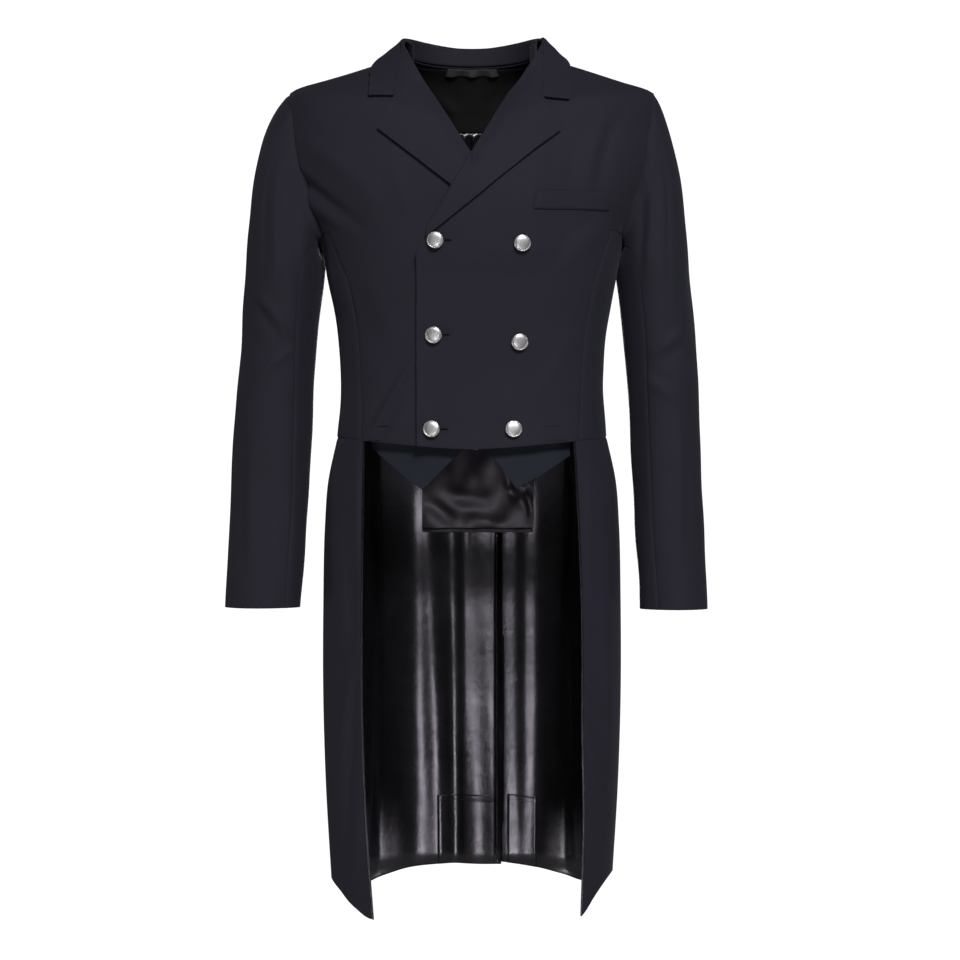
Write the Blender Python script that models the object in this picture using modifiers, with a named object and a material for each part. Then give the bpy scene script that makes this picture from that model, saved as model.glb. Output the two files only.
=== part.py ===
"""A double-breasted riding tailcoat, filled out as if worn, with nobody in it.

Every piece of cloth is a grid laid on a form and given a wall. The body's form is a stack of rings, from
the tails' hem up to the neck. Angles run round it from the centre front (0) over the wearer's left side
(90) to the centre back (180), and are negative on the wearer's right. Rings are numbered from the hem
(-1) over the waist seam (0), the underarm (1) and the shoulder points (2) to the neck seam (3).
Metres, +Z up, the front towards -Y, the origin between the shoulders at the foot of the neck.
"""

from bisect import bisect_right
from collections import namedtuple
from math import atan2, cos, degrees, exp, pi, radians, sin

import bmesh
import bpy
import numpy as np
from mathutils import Vector

LEFT, RIGHT = 1, -1

# Walls and gaps
CLOTH = 0.0016
LEATHERCLOTH = 0.0012
SATIN = 0.0010
SEAM_GAP = 0.0004
LAYER_GAP = 0.0005
LOOSE_GAP = 0.0013
STEP = 0.001

# How square the cross-sections are, and how sharply the rings dip under the arm
SQUARE = 2.4
DIP = 1.6


class Table:
    """Rows of named columns. Between rows, at() follows a smooth curve in the first column."""

    def __init__(self, names, *rows):
        self.row = namedtuple("row", names.split()[1:])
        self.keys = [row[0] for row in rows]
        self.values = [row[1:] for row in rows]
        self.slopes = np.gradient(np.array(self.values, float), self.keys, axis=0).tolist()

    def at(self, key):
        i = min(max(bisect_right(self.keys, key) - 1, 0), len(self.keys) - 2)
        span = self.keys[i + 1] - self.keys[i]
        s = min(max((key - self.keys[i]) / span, 0.0), 1.0)
        start, end = (1 + 2 * s) * (1 - s) ** 2, s * s * (3 - 2 * s)
        leave, arrive = s * (1 - s) ** 2 * span, s * s * (s - 1) * span
        columns = zip(self.values[i], self.values[i + 1], self.slopes[i], self.slopes[i + 1])
        return self.row(*(start * a + end * b + leave * c + arrive * d for a, b, c, d in columns))


BODY = Table(
    "ring half_width front back side_z front_z back_z",
    (0.00, 0.1665, 0.104, 0.098, -0.4725, -0.4875, -0.4800),
    (0.30, 0.1620, 0.102, 0.094, -0.3950, -0.3950, -0.3950),
    (0.50, 0.1655, 0.107, 0.098, -0.3450, -0.3350, -0.3350),
    (0.75, 0.1765, 0.116, 0.108, -0.2850, -0.2550, -0.2500),
    (1.00, 0.1890, 0.120, 0.114, -0.2250, -0.1850, -0.1750),
    (1.25, 0.2100, 0.118, 0.114, -0.1850, -0.1550, -0.1400),
    (1.50, 0.2280, 0.113, 0.110, -0.1400, -0.1300, -0.1080),
    (1.75, 0.2320, 0.106, 0.104, -0.0880, -0.1120, -0.0800),
    (2.00, 0.2210, 0.099, 0.098, -0.0400, -0.0960, -0.0560),
    (2.25, 0.1880, 0.092, 0.092, -0.0295, -0.0840, -0.0380),
    (2.50, 0.1530, 0.084, 0.084, -0.0190, -0.0720, -0.0220),
    (3.00, 0.0800, 0.068, 0.066, 0.0040, -0.0500, 0.0000),
)

TAILS = Table(
    "ring half_width front back",
    (-1.00, 0.1740, 0.110, 0.122),
    (-0.80, 0.1805, 0.110, 0.124),
    (-0.60, 0.1840, 0.108, 0.125),
    (-0.37, 0.1840, 0.106, 0.125),
    (-0.20, 0.1820, 0.105, 0.121),
    (-0.10, 0.1780, 0.104, 0.112),
    (0.00, 0.1665, 0.104, 0.098),
)

# The tails' hems: highest at the centre back, hanging to a point at the front edges
HEM = Table(
    "angle left_z right_z",
    (50, -1.060, -1.062),
    (57, -1.050, -1.058),
    (64, -1.036, -1.046),
    (72, -1.020, -1.030),
    (80, -1.012, -1.022),
    (90, -1.013, -1.020),
    (105, -1.024, -1.028),
    (117, -1.034, -1.038),
    (130, -1.031, -1.034),
    (145, -1.0245, -1.0255),
    (160, -1.0190, -1.0210),
    (190, -1.0180, -1.0210),
)

# Soft folds that deepen towards the tails' hems: height is how far they stand out
TAIL_FOLDS = Table(
    "angle width height",
    (-172, 9, 0.005),
    (-146, 10, 0.006),
    (-118, 9, -0.004),
    (118, 9, -0.004),
    (146, 10, 0.005),
    (166, 8, 0.004),
)


def section(angle, half_width, front, back):
    """The reach of a cross-section at an angle: a squared ellipse, with its own depth front and back."""
    depth = front if cos(angle) > 0 else back
    side_part = abs(sin(angle) / half_width) ** SQUARE
    return (side_part + abs(cos(angle) / depth) ** SQUARE) ** (-1 / SQUARE)


def fold_height(angle, ring):
    height = 0.0
    for centre, (width, fold) in zip(TAIL_FOLDS.keys, TAIL_FOLDS.values):
        away = (degrees(angle) - centre + 180) % 360 - 180
        height += fold * exp(-((away / width) ** 2))
    return -ring * height


def hem_height(angle):
    left_z, right_z = HEM.at(abs(degrees(angle)))
    return left_z if angle > 0 else right_z


def coat(angle, ring):
    """A point of the body's form."""
    half_width, front, back, side_z, front_z, back_z = BODY.at(max(ring, 0))
    centre_z = front_z if cos(angle) > 0 else back_z
    z = side_z + (centre_z - side_z) * abs(cos(angle)) ** DIP
    reach = section(angle, half_width, front, back)
    if ring < 0:
        reach = section(angle, *TAILS.at(ring)) + fold_height(angle, ring)
        z += (hem_height(angle) - z) * -ring
    return Vector((reach * sin(angle), -reach * cos(angle), z))


# The crease at the collar's top, above the neck seam
CREASE = dict(half_width=0.0850, front=0.072, back=0.072)
CREASE_SIDE_Z, CREASE_FRONT_Z, CREASE_BACK_Z = 0.0270, -0.0150, 0.0240
COLLAR_RISE_FROM = 2.55


def crease(angle):
    reach = section(angle, **CREASE)
    centre_z = CREASE_FRONT_Z if cos(angle) > 0 else CREASE_BACK_Z
    z = CREASE_SIDE_Z + (centre_z - CREASE_SIDE_Z) * abs(cos(angle)) ** DIP
    return Vector((reach * sin(angle), -reach * cos(angle), z))


def collar_form(angle, ring):
    """The form that collar and lapels lie on: the body's, rising to the crease near the neck."""
    rise = max(ring - COLLAR_RISE_FROM, 0) / (3 - COLLAR_RISE_FROM)
    return coat(angle, ring) + (crease(angle) - coat(angle, 3)) * rise**2


def outward(form, angle, ring):
    """The unit normal of a form, pointing away from the wearer."""
    round_it = form(angle + STEP, ring) - form(angle - STEP, ring)
    up_it = form(angle, ring + STEP) - form(angle, ring - STEP)
    return round_it.cross(up_it).normalized()


def solve(function, low, high):
    """Where a rising function crosses zero between two values."""
    for _ in range(24):
        middle = (low + high) / 2
        low, high = (middle, high) if function(middle) < 0 else (low, middle)
    return (low + high) / 2


def angle_across(form, ring, x):
    """The angle on the front of a ring at a distance across from the centre."""
    return solve(lambda angle: form(angle, ring).x - x, radians(-89), radians(89))


def seen_at(form, x, z):
    """The place on the front of a form that is seen at x and z from straight in front."""
    ring = solve(lambda r: form(angle_across(form, r, x), r).z - z, -1, 3)
    return angle_across(form, ring, x), ring


# ---------------------------------------------------------------- building cloth


def finish(name, colour, roughness, metallic=0.0):
    material = bpy.data.materials.new(name)
    material.use_nodes = True
    shader = material.node_tree.nodes["Principled BSDF"]
    shader.inputs["Base Color"].default_value = (*colour, 1.0)
    shader.inputs["Roughness"].default_value = roughness
    shader.inputs["Metallic"].default_value = metallic
    return material


NAVY = dict(colour=(0.016, 0.016, 0.025), roughness=0.85)
POINT_NAVY = dict(colour=(0.014, 0.018, 0.028), roughness=0.80)
BLACK_LEATHERCLOTH = dict(colour=(0.008, 0.008, 0.009), roughness=0.30)
BLACK_SATIN = dict(colour=(0.012, 0.010, 0.011), roughness=0.35)
MATT_LINING = dict(colour=(0.006, 0.006, 0.007), roughness=0.90)
SILVER = dict(colour=(0.62, 0.62, 0.62), roughness=0.30, metallic=1.0)


def start_coat():
    for old in list(bpy.data.objects):
        bpy.data.objects.remove(old)
    collection = bpy.data.collections.new("dressage_tailcoat")
    bpy.context.scene.collection.children.link(collection)
    return collection


def place_object(name, mesh, look):
    mesh.materials.clear()
    mesh.materials.append(finish(name + "_finish", **look))
    piece = bpy.data.objects.new(name, mesh)
    COLLECTION.objects.link(piece)
    return piece


def pulled_in(grid):
    """A grid of points with its four edges drawn in by half a seam's gap."""
    rows, columns = len(grid), len(grid[0])

    def towards(edge, inner):
        return edge + (inner - edge).normalized() * (SEAM_GAP / 2)

    for row in grid:
        row[0], row[-1] = towards(row[0], row[1]), towards(row[-1], row[-2])
    for j in range(columns):
        low, high = towards(grid[0][j], grid[1][j]), towards(grid[-1][j], grid[-2][j])
        grid[0][j], grid[rows - 1][j] = low, high
    return grid


def wall(name, inner, outer, look):
    """A closed piece of cloth between two grids of points: a flat grid, extruded and laid on them."""
    rows, columns = len(inner) - 1, len(inner[0]) - 1
    bm = bmesh.new()
    bmesh.ops.create_grid(bm, x_segments=columns, y_segments=rows, size=0.5)
    raised = bmesh.ops.extrude_face_region(bm, geom=bm.faces[:])["geom"]
    bmesh.ops.translate(bm, verts=[v for v in raised if isinstance(v, bmesh.types.BMVert)], vec=(0, 0, 1))
    for vert in bm.verts:
        row, column = round((vert.co.y + 0.5) * rows), round((vert.co.x + 0.5) * columns)
        vert.co = (outer if vert.co.z > 0.5 else inner)[row][column]
    bmesh.ops.recalc_face_normals(bm, faces=bm.faces)
    if bm.calc_volume(signed=True) < 0:
        bmesh.ops.reverse_faces(bm, faces=bm.faces)
    mesh = bpy.data.meshes.new(name)
    bm.to_mesh(mesh)
    bm.free()
    mesh.shade_smooth()
    mesh.set_sharp_from_angle(angle=radians(40))
    return place_object(name, mesh, look)


def flat_lift(height):
    return lambda point: height


def panel(name, form, near, far, columns, look, lift=flat_lift(0.0), thickness=CLOTH):
    """Cloth on a form between two edges, each a list of (angle, ring), with its inner face at lift."""
    steps = columns if isinstance(columns, list) else [k / columns for k in range(columns + 1)]
    inner, outer = [], []
    for (angle_a, ring_a), (angle_b, ring_b) in zip(near, far):
        places = [(angle_a + (angle_b - angle_a) * s, ring_a + (ring_b - ring_a) * s) for s in steps]
        points = [form(*place) for place in places]
        normals = [outward(form, *place) for place in places]
        inner.append([p + n * lift(p) for p, n in zip(points, normals)])
        outer.append([p + n * (lift(p) + thickness) for p, n in zip(points, normals)])
    return wall(name, pulled_in(inner), pulled_in(outer), look)


def side_name(name, side):
    return name + ("_left" if side == LEFT else "_right")


# ---------------------------------------------------------------- the bodice

LINING_SEAM = 1.76
RINGS_TO_ARM = [0.0, 0.15, 0.3, 0.5, 0.65, 0.8, 0.9, 1.0]
RINGS_ARMHOLE = [1.0, 1.17, 1.34, 1.5, 1.63, LINING_SEAM, 1.9, 2.0]
RINGS_SHOULDER = [2.0, 2.2, 2.4, 2.6, 2.8, 3.0]
BODICE_RINGS = RINGS_TO_ARM + RINGS_ARMHOLE[1:] + RINGS_SHOULDER[1:]

# The seams of the side panels: the front one by its distance across, the back one as an angle
FRONT_SEAM = Table(
    "ring left_x right_x",
    (0.00, 0.1262, 0.1330),
    (0.30, 0.1325, 0.1345),
    (0.50, 0.1385, 0.1380),
    (0.75, 0.1500, 0.1490),
    (1.00, 0.1710, 0.1730),
)
BACK_SEAM = Table("ring angle", (0.0, 128), (0.3, 131), (0.6, 128), (0.85, 119), (1.0, 112))
ARMHOLE = Table(
    "ring front_angle back_angle",
    (1.00, 70.5, 112),
    (1.25, 75.5, 105.5),
    (1.50, 77, 102.5),
    (1.75, 79, 100),
    (1.90, 82, 97),
    (2.00, 90, 90),
)

FRONT_EDGE_X = -0.0655
BREAK_X, BREAK_Z = -0.0540, -0.2200
ROLL_TOP_X, ROLL_TOP_Z = 0.0846, 0.0180


def opening_x(z):
    """How far across the left front's edge lies: its straight edge, then the roll line up to the neck."""
    climb = (z - BREAK_Z) / (ROLL_TOP_Z - BREAK_Z)
    if climb <= 0:
        return FRONT_EDGE_X + (BREAK_X - FRONT_EDGE_X) * max(1 + climb * 8, 0)
    return BREAK_X + (ROLL_TOP_X - BREAK_X) * climb


def opening_angle(form, ring):
    def across(angle):
        point = form(angle, ring)
        return point.x - opening_x(point.z)

    return solve(across, radians(-60), radians(89))


def front_seam(ring, side):
    left_x, right_x = FRONT_SEAM.at(ring)
    return angle_across(coat, ring, left_x if side == LEFT else right_x)


def back_seam(ring):
    return radians(BACK_SEAM.at(ring)[0])


def outer_angle(ring, side):
    """Where a front ends: at its side panel, then the armhole, then the shoulder seam."""
    if ring <= 1:
        return front_seam(ring, side)
    return radians(ARMHOLE.at(ring)[0])


def eased(value, low, high):
    s = min(max((value - low) / (high - low), 0.0), 1.0)
    return s * s * (3 - 2 * s)


# The left front is lifted over the right one where they overlap, more over the right lapel
OVERLAP_LIFT, LAPEL_LIFT = 0.0023, 0.0041


def left_lift(point):
    fade = 1 - eased(point.x, 0.070, 0.115)
    return fade * (OVERLAP_LIFT + LAPEL_LIFT * eased(point.z, -0.28, -0.24))


def front_lift(side):
    return left_lift if side == LEFT else flat_lift(0.0)


def mirrored(edge):
    return [(-angle, ring) for angle, ring in edge]


def on_side(name, side, form, near, far, columns, look, **more):
    """A panel given for the wearer's left, or its mirror image on the right."""
    if side == RIGHT:
        near, far = mirrored(near), mirrored(far)
    return panel(side_name(name, side), form, near, far, columns, look, **more)


def make_fronts():
    near = [(opening_angle(coat, ring), ring) for ring in BODICE_RINGS]
    for side in (LEFT, RIGHT):
        far = [(outer_angle(ring, side), ring) for ring in BODICE_RINGS]
        on_side("front", side, coat, near, far, 8, NAVY, lift=front_lift(side))


# Where the columns of the side panel and the back stand, as shares of the way across
SIDE_STEPS = [0.0, 0.2, 0.4, 0.6, 0.8, 1.0]
BACK_STEPS = [0.0, 0.135, 0.31, 0.46, 0.604, 0.73, 0.865, 1.0]


def make_side(side):
    near = [(front_seam(ring, side), ring) for ring in RINGS_TO_ARM]
    far = [(back_seam(ring), ring) for ring in RINGS_TO_ARM]
    on_side("side", side, coat, near, far, SIDE_STEPS, NAVY)


def back_edge(ring):
    return back_seam(ring) if ring <= 1 else radians(ARMHOLE.at(ring).back_angle)


def make_back(side):
    near = [(back_edge(ring), ring) for ring in BODICE_RINGS]
    far = [(pi, ring) for ring in BODICE_RINGS]
    on_side("back", side, coat, near, far, BACK_STEPS, NAVY)


# ---------------------------------------------------------------- lapels and collar

# Collar and lapels start close at their fold and stand further off beyond it
TURNED_LIFT, TURN_WIDTH = 0.0017, 0.022
LAPELS = {
    LEFT: dict(notch=(0.0872, -0.0616), tip=(0.1085, -0.1001), foot=(-0.0545, -0.2310)),
    RIGHT: dict(notch=(0.0942, -0.0567), tip=(0.1150, -0.0977), foot=(-0.0545, -0.2310)),
}
ROLL_STEPS = [0.0, 0.12, 0.24, 0.31, 0.38, 0.46, 0.54, 0.63, 0.72, 0.81, 0.90, 0.985]
EDGE_STEPS = [0.1, 0.2, 0.35, 0.5, 0.67, 0.84, 1.0]


def between(a, b, s):
    return tuple(p + (q - p) * s for p, q in zip(a, b))


def lapel_outline(side):
    """The lapel's free edge: down the gorge to the notch, out to the tip and down to its foot."""
    notch, tip, foot = LAPELS[side]["notch"], LAPELS[side]["tip"], LAPELS[side]["foot"]
    top = (ROLL_TOP_X + 0.002, ROLL_TOP_Z - 0.004)
    gorge = [between(top, notch, s) for s in (0.0, 0.5)]
    end = [notch, between(notch, tip, 0.5), tip]
    return gorge + end + [between(tip, foot, s) for s in EDGE_STEPS]


def lapel_lift(side):
    def lift(point):
        beyond_fold = abs(point.x) - opening_x(point.z) if point.x * side > 0 else TURN_WIDTH
        return front_lift(side)(point) + CLOTH + LAYER_GAP + TURNED_LIFT * eased(beyond_fold, 0, TURN_WIDTH)

    return lift


def make_lapel(side):
    top, foot = (ROLL_TOP_X, ROLL_TOP_Z), (BREAK_X, BREAK_Z)
    near = [seen_at(collar_form, *between(top, foot, s)) for s in ROLL_STEPS]
    far = [seen_at(collar_form, *point) for point in lapel_outline(side)]
    on_side("lapel", side, collar_form, near, far, 6, NAVY, lift=lapel_lift(side))


COLLAR_ANGLES = [180, 162, 144, 127, 112, 100, 90, 82]
COLLAR_FALL = Table("angle outer_ring", (80, 2.80), (90, 2.80), (120, 2.78), (150, 2.70), (180, 2.68))
CREASE_FOLD_Z, GORGE_GAP = 0.026, 0.0010
COLLAR_END = {
    LEFT: [(0.1215, -0.0170), (0.1212, -0.0320), (0.1203, -0.0470), (0.1190, -0.0616)],
    RIGHT: [(0.1235, -0.0140), (0.1243, -0.0290), (0.1249, -0.0430), (0.1255, -0.0567)],
}


def collar_edges(side):
    """The fall's inner edge (crease, then gorge) and outer edge, from the centre back to one end."""
    inner = [(radians(angle), 3.0) for angle in COLLAR_ANGLES]
    outer = [(radians(angle), COLLAR_FALL.at(angle)[0]) for angle in COLLAR_ANGLES]
    top = (ROLL_TOP_X + 0.002, ROLL_TOP_Z - 0.004)
    gorge = [between(top, LAPELS[side]["notch"], s) for s in (0.15, 0.4, 0.7, 1.0)]
    inner += [seen_at(collar_form, x + GORGE_GAP, z) for x, z in gorge]
    outer += [seen_at(collar_form, *point) for point in COLLAR_END[side]]
    return inner, outer


def collar_lift(point):
    turned = eased(CREASE_FOLD_Z - point.z, 0, TURN_WIDTH)
    over_front = left_lift(point) if point.x > 0 and point.y < 0 else 0.0
    return LAYER_GAP + (over_front + CLOTH) * turned + TURNED_LIFT * eased(-point.z, 0, 2 * TURN_WIDTH)


def make_collar_fall():
    inner_left, outer_left = collar_edges(LEFT)
    inner_right, outer_right = collar_edges(RIGHT)
    inner = inner_left[::-1] + [(2 * pi - angle, ring) for angle, ring in inner_right[1:]]
    outer = outer_left[::-1] + [(2 * pi - angle, ring) for angle, ring in outer_right[1:]]
    panel("collar_fall", collar_form, inner, outer, 4, NAVY, lift=collar_lift)


def stand_form(angle, height):
    """The collar's stand: straight up from the neck seam's outer face to the crease."""
    foot = coat(angle, 3) + outward(coat, angle, 3) * (CLOTH + SEAM_GAP)
    return foot + (crease(angle) - foot) * height


STAND_ANGLES = [68, 75, 82, 90, 100, 112, 127, 144, 162, 180]


def make_collar_stand():
    angles = STAND_ANGLES + [360 - angle for angle in STAND_ANGLES[-2::-1]]
    low = [(radians(angle), 0.0) for angle in angles]
    high = [(radians(angle), 1.0) for angle in angles]
    panel("collar_stand", stand_form, low, high, 2, NAVY, lift=flat_lift(-CLOTH))


# ---------------------------------------------------------------- tails


TAIL_RINGS = [0.0, -0.06, -0.14, -0.26, -0.42, -0.62, -0.835, -1.0]
TAIL_FRONT_EDGE = Table(
    "ring left_x right_x",
    (-1.00, 0.1325, 0.1215),
    (-0.80, 0.1360, 0.1300),
    (-0.60, 0.1360, 0.1345),
    (-0.40, 0.1360, 0.1355),
    (-0.20, 0.1325, 0.1345),
    (0.00, 0.1262, 0.1330),
)
VENT_OVERLAP_X, FACING_WIDTH = 0.0385, 0.0065
TUCK = CLOTH + LEATHERCLOTH + LAYER_GAP + LOOSE_GAP
LINING_LIFT = -(LAYER_GAP + LEATHERCLOTH)


def tail_edge_angle(ring, side):
    left_x, right_x = TAIL_FRONT_EDGE.at(ring)
    return angle_across(coat, ring, left_x if side == LEFT else right_x)


def tail_angles(ring, side):
    """Where a tail's columns stand: under those of the side panel and back, then past the vent."""
    start, seam = tail_edge_angle(ring, side), back_seam(0)
    angles = [start + (seam - start) * step for step in SIDE_STEPS]
    angles += [seam + (pi - seam) * step for step in BACK_STEPS[1:]]
    if side == RIGHT:
        depth = coat(pi, ring).y
        angles += [pi + atan2(past, depth) for past in (VENT_OVERLAP_X - FACING_WIDTH, VENT_OVERLAP_X)]
    return angles


def tuck(side, angle):
    """How far the right tail runs inside the left one at the vent."""
    return TUCK * eased(angle, radians(160), radians(177)) if side == RIGHT else 0.0


def tail_grid(side, lift, rings=TAIL_RINGS, first=0, last=None):
    grid = []
    for ring in rings:
        row = []
        for angle in tail_angles(ring, side)[first:last]:
            place = (side * angle, ring)
            row.append(coat(*place) + outward(coat, *place) * (lift - tuck(side, angle)))
        grid.append(row)
    return grid


def tail_piece(name, side, lift, thickness, look, **part):
    inner, outer = tail_grid(side, lift, **part), tail_grid(side, lift + thickness, **part)
    return wall(name, pulled_in(inner), pulled_in(outer), look)


POCKET_RINGS, FACING_RINGS = TAIL_RINGS[-2:], TAIL_RINGS[1:]
POCKET_COLUMNS = {LEFT: dict(first=7, last=10), RIGHT: dict(first=9, last=14)}
ON_LINING = LINING_LIFT - LAYER_GAP - LEATHERCLOTH
PIPING_RADIUS = 0.0013


def make_tail(side):
    tail_piece(side_name("tail", side), side, 0.0, CLOTH, NAVY)
    name = side_name("tail_lining", side)
    tail_piece(name, side, LINING_LIFT, LEATHERCLOTH, BLACK_LEATHERCLOTH)
    name, part = side_name("weight_pocket", side), dict(rings=POCKET_RINGS, **POCKET_COLUMNS[side])
    tail_piece(name, side, ON_LINING, LEATHERCLOTH, BLACK_LEATHERCLOTH, **part)


def make_vent_facing():
    part = dict(rings=FACING_RINGS, first=-2)
    tail_piece("vent_facing", RIGHT, ON_LINING, LEATHERCLOTH, BLACK_LEATHERCLOTH, **part)


def cord(name, points, radius, look):
    """A thin round cord through a few points."""
    curve = bpy.data.curves.new(name, "CURVE")
    curve.dimensions, curve.fill_mode = "3D", "FULL"
    curve.bevel_depth, curve.bevel_resolution, curve.use_fill_caps = radius, 1, True
    spline = curve.splines.new("POLY")
    spline.points.add(len(points) - 1)
    for knot, point in zip(spline.points, points):
        knot.co = (*point, 1.0)
    return place_object(name, curve, look)


def make_piping(side):
    points = []
    for ring in TAIL_RINGS:
        angle, beyond = tail_edge_angle(ring, side), PIPING_RADIUS + SEAM_GAP
        edge = coat(side * angle, ring)
        along = (coat(side * (angle - STEP), ring) - edge).normalized()
        points.append(edge + along * beyond)
    points[0] += (points[1] - points[0]).normalized() * LAYER_GAP
    cord(side_name("tail_piping", side), points, PIPING_RADIUS, BLACK_LEATHERCLOTH)


# ---------------------------------------------------------------- sleeves

# Down each sleeve from the upper arm to the cuff: where its middle runs, how wide and deep it is, and how
# far its forearm seam stands round from the front towards the body
SLEEVES = {
    LEFT: Table(
        "drop across back half_width half_depth seam",
        (0.265, 0.2270, 0.004, 0.0445, 0.064, 25),
        (0.350, 0.2340, 0.006, 0.0450, 0.058, 26),
        (0.420, 0.2385, 0.002, 0.0440, 0.054, 30),
        (0.500, 0.2420, -0.008, 0.0432, 0.051, 32),
        (0.580, 0.2450, -0.020, 0.0425, 0.048, 33),
        (0.684, 0.2500, -0.036, 0.0413, 0.046, 33),
    ),
    RIGHT: Table(
        "drop across back half_width half_depth seam",
        (0.265, 0.2338, 0.004, 0.0488, 0.064, 24),
        (0.350, 0.2406, 0.006, 0.0469, 0.058, 30),
        (0.420, 0.2463, 0.002, 0.0475, 0.054, 36),
        (0.500, 0.2500, -0.008, 0.0487, 0.050, 38),
        (0.580, 0.2531, -0.020, 0.0481, 0.047, 40),
        (0.682, 0.2590, -0.036, 0.0466, 0.045, 41),
    ),
}
# Round the armhole, by the turn from the front (0) to the body (90) and the back (180)
ARMHOLE_ROUND = Table(
    "turn ring",
    (-90, 2.0),
    (-60, 1.91),
    (-30, 1.73),
    (0, 1.48),
    (25, 1.24),
    (50, 1.0),
)
HINDARM_TURN = 185
CAP_OUT, SET_IN_GAP = {LEFT: 0.035, RIGHT: 0.110}, 0.0028


def armhole_place(turn):
    """The place on the body's form where the sleeve is set in."""
    turn = (turn + 90) % 360 - 90
    if turn > 130:
        ring = ARMHOLE_ROUND.at(180 - turn)[0]
        return radians(ARMHOLE.at(ring)[1]), ring
    if turn > 50:
        front, back = ARMHOLE.at(1.0)
        return radians(front + (back - front) * (turn - 50) / 80), 1.0
    ring = ARMHOLE_ROUND.at(turn)[0]
    return radians(ARMHOLE.at(ring)[0]), ring


def sleeve_form(side):
    """The sleeve's form by its turn (degrees) and its length: 0 armhole, 1 upper arm, 2 cuff."""
    table = SLEEVES[side]
    top, bottom = table.keys[0], table.keys[-1]

    def tube(turn, drop):
        across, back, half_width, half_depth, _ = table.at(drop)
        aside = across - half_width * sin(radians(turn))
        return Vector((side * aside, back - half_depth * cos(radians(turn)), -drop))

    def form(turn, length):
        if length >= 1:
            return tube(turn, top + (bottom - top) * (length - 1))
        angle, ring = armhole_place(turn)
        place = (side * angle, ring)
        start = coat(*place) + outward(coat, *place) * (CLOTH + SET_IN_GAP)
        end = tube(turn, top)
        high = (1 - sin(radians(turn))) / 2
        leave = Vector((side * (0.030 + CAP_OUT[side] * high), 0, -0.030 - 0.090 * high))
        arrive = Vector((0, 0, -0.040 - 0.200 * high))
        s = length
        here = start * ((1 + 2 * s) * (1 - s) ** 2) + end * (s * s * (3 - 2 * s))
        return here + leave * (s * (1 - s) ** 2) - arrive * (s * s * (1 - s))

    return form


def seam_turn(side, length):
    table = SLEEVES[side]
    top, bottom = table.keys[0], table.keys[-1]
    return table.at(top + (bottom - top) * max(length - 1, 0))[4]


SLEEVE_LENGTHS = [0.0, 0.12, 0.3, 0.5, 0.75, 1.0, 1.12, 1.25, 1.4, 1.55, 1.7, 1.85, 2.0]


def make_sleeve(side):
    form, lift = sleeve_form(side), flat_lift(0.0 if side == RIGHT else -CLOTH)
    seam = [(seam_turn(side, length), length) for length in SLEEVE_LENGTHS]
    hindarm = [(HINDARM_TURN, length) for length in SLEEVE_LENGTHS]
    behind = [(HINDARM_TURN - 360, length) for length in SLEEVE_LENGTHS]
    panel(side_name("topsleeve", side), form, behind, seam, 9, NAVY, lift=lift)
    panel(side_name("undersleeve", side), form, seam, hindarm, 6, NAVY, lift=lift)


# ---------------------------------------------------------------- what is sewn on the fronts

WELT_TOP = [(0.0790, -0.1727), (0.1000, -0.1722), (0.1235, -0.1718), (0.1470, -0.1716), (0.1690, -0.1715)]
WELT_BOTTOM = [(0.0755, -0.1935), (0.0980, -0.1938), (0.1220, -0.1944), (0.1460, -0.1950), (0.1675, -0.1955)]


def welt_lift(point):
    return left_lift(point) + CLOTH + 2 * LAYER_GAP


def make_breast_welt():
    top = [seen_at(coat, *point) for point in WELT_TOP]
    bottom = [seen_at(coat, *point) for point in WELT_BOTTOM]
    panel("breast_welt", coat, bottom, top, 2, NAVY, lift=welt_lift)


# The waistcoat points: how low they reach at each distance across
POINT_TOP_Z, POINT_HANG, POINT_HANG_Z = -0.4550, 0.0060, 0.0350
POINTS = {
    LEFT: [(0.0150, -0.4830), (0.0370, -0.5110), (0.0562, -0.5359), (0.0817, -0.5226), (0.1230, -0.4950)],
    RIGHT: [(0.0100, -0.4870), (0.0370, -0.5130), (0.0617, -0.5372), (0.0836, -0.5226), (0.1250, -0.4850)],
}


def point_lift(point):
    """A point starts close inside the front and hangs clear of its hem."""
    return -CLOTH - LOOSE_GAP - POINT_HANG * eased(POINT_TOP_Z - point.z, 0, POINT_HANG_Z)


def make_point(side):
    top = [seen_at(coat, x, POINT_TOP_Z) for x, _ in POINTS[side]]
    bottom = [seen_at(coat, *point) for point in POINTS[side]]
    on_side("waistcoat_point", side, coat, bottom, top, 3, POINT_NAVY, lift=point_lift)


# Buttons: a domed head on a shank, in two columns of three
BUTTON_PROFILE = [
    (0.0, 0.0075),
    (0.0046, 0.0072),
    (0.0084, 0.0062),
    (0.0103, 0.0050),
    (0.0098, 0.0040),
    (0.0030, 0.0035),
    (0.0022, 0.0031),
    (0.0022, 0.0),
    (0.0, 0.0),
]
BUTTONS = {
    "button_outer": [(-0.0432, -0.2350), (-0.0456, -0.3485), (-0.0480, -0.4634)],
    "button_inner": [(0.0596, -0.2385), (0.0571, -0.3570), (0.0499, -0.4634)],
}


def make_button(name, x, z):
    mesh = bpy.data.meshes.new(name)
    edges = [(k, k + 1) for k in range(len(BUTTON_PROFILE) - 1)]
    mesh.from_pydata([(r, 0, h) for r, h in BUTTON_PROFILE], edges, [])
    button = place_object(name, mesh, SILVER)
    turn = button.modifiers.new("turn", "SCREW")
    turn.steps = turn.render_steps = 12
    turn.use_merge_vertices, turn.merge_threshold, turn.use_smooth_shade = True, 0.0001, True
    place = seen_at(coat, x, z)
    seat, normal = coat(*place), outward(coat, *place)
    button.location = seat + normal * (left_lift(seat) + CLOTH + SEAM_GAP)
    button.rotation_euler = normal.to_track_quat("Z", "Y").to_euler()


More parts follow.
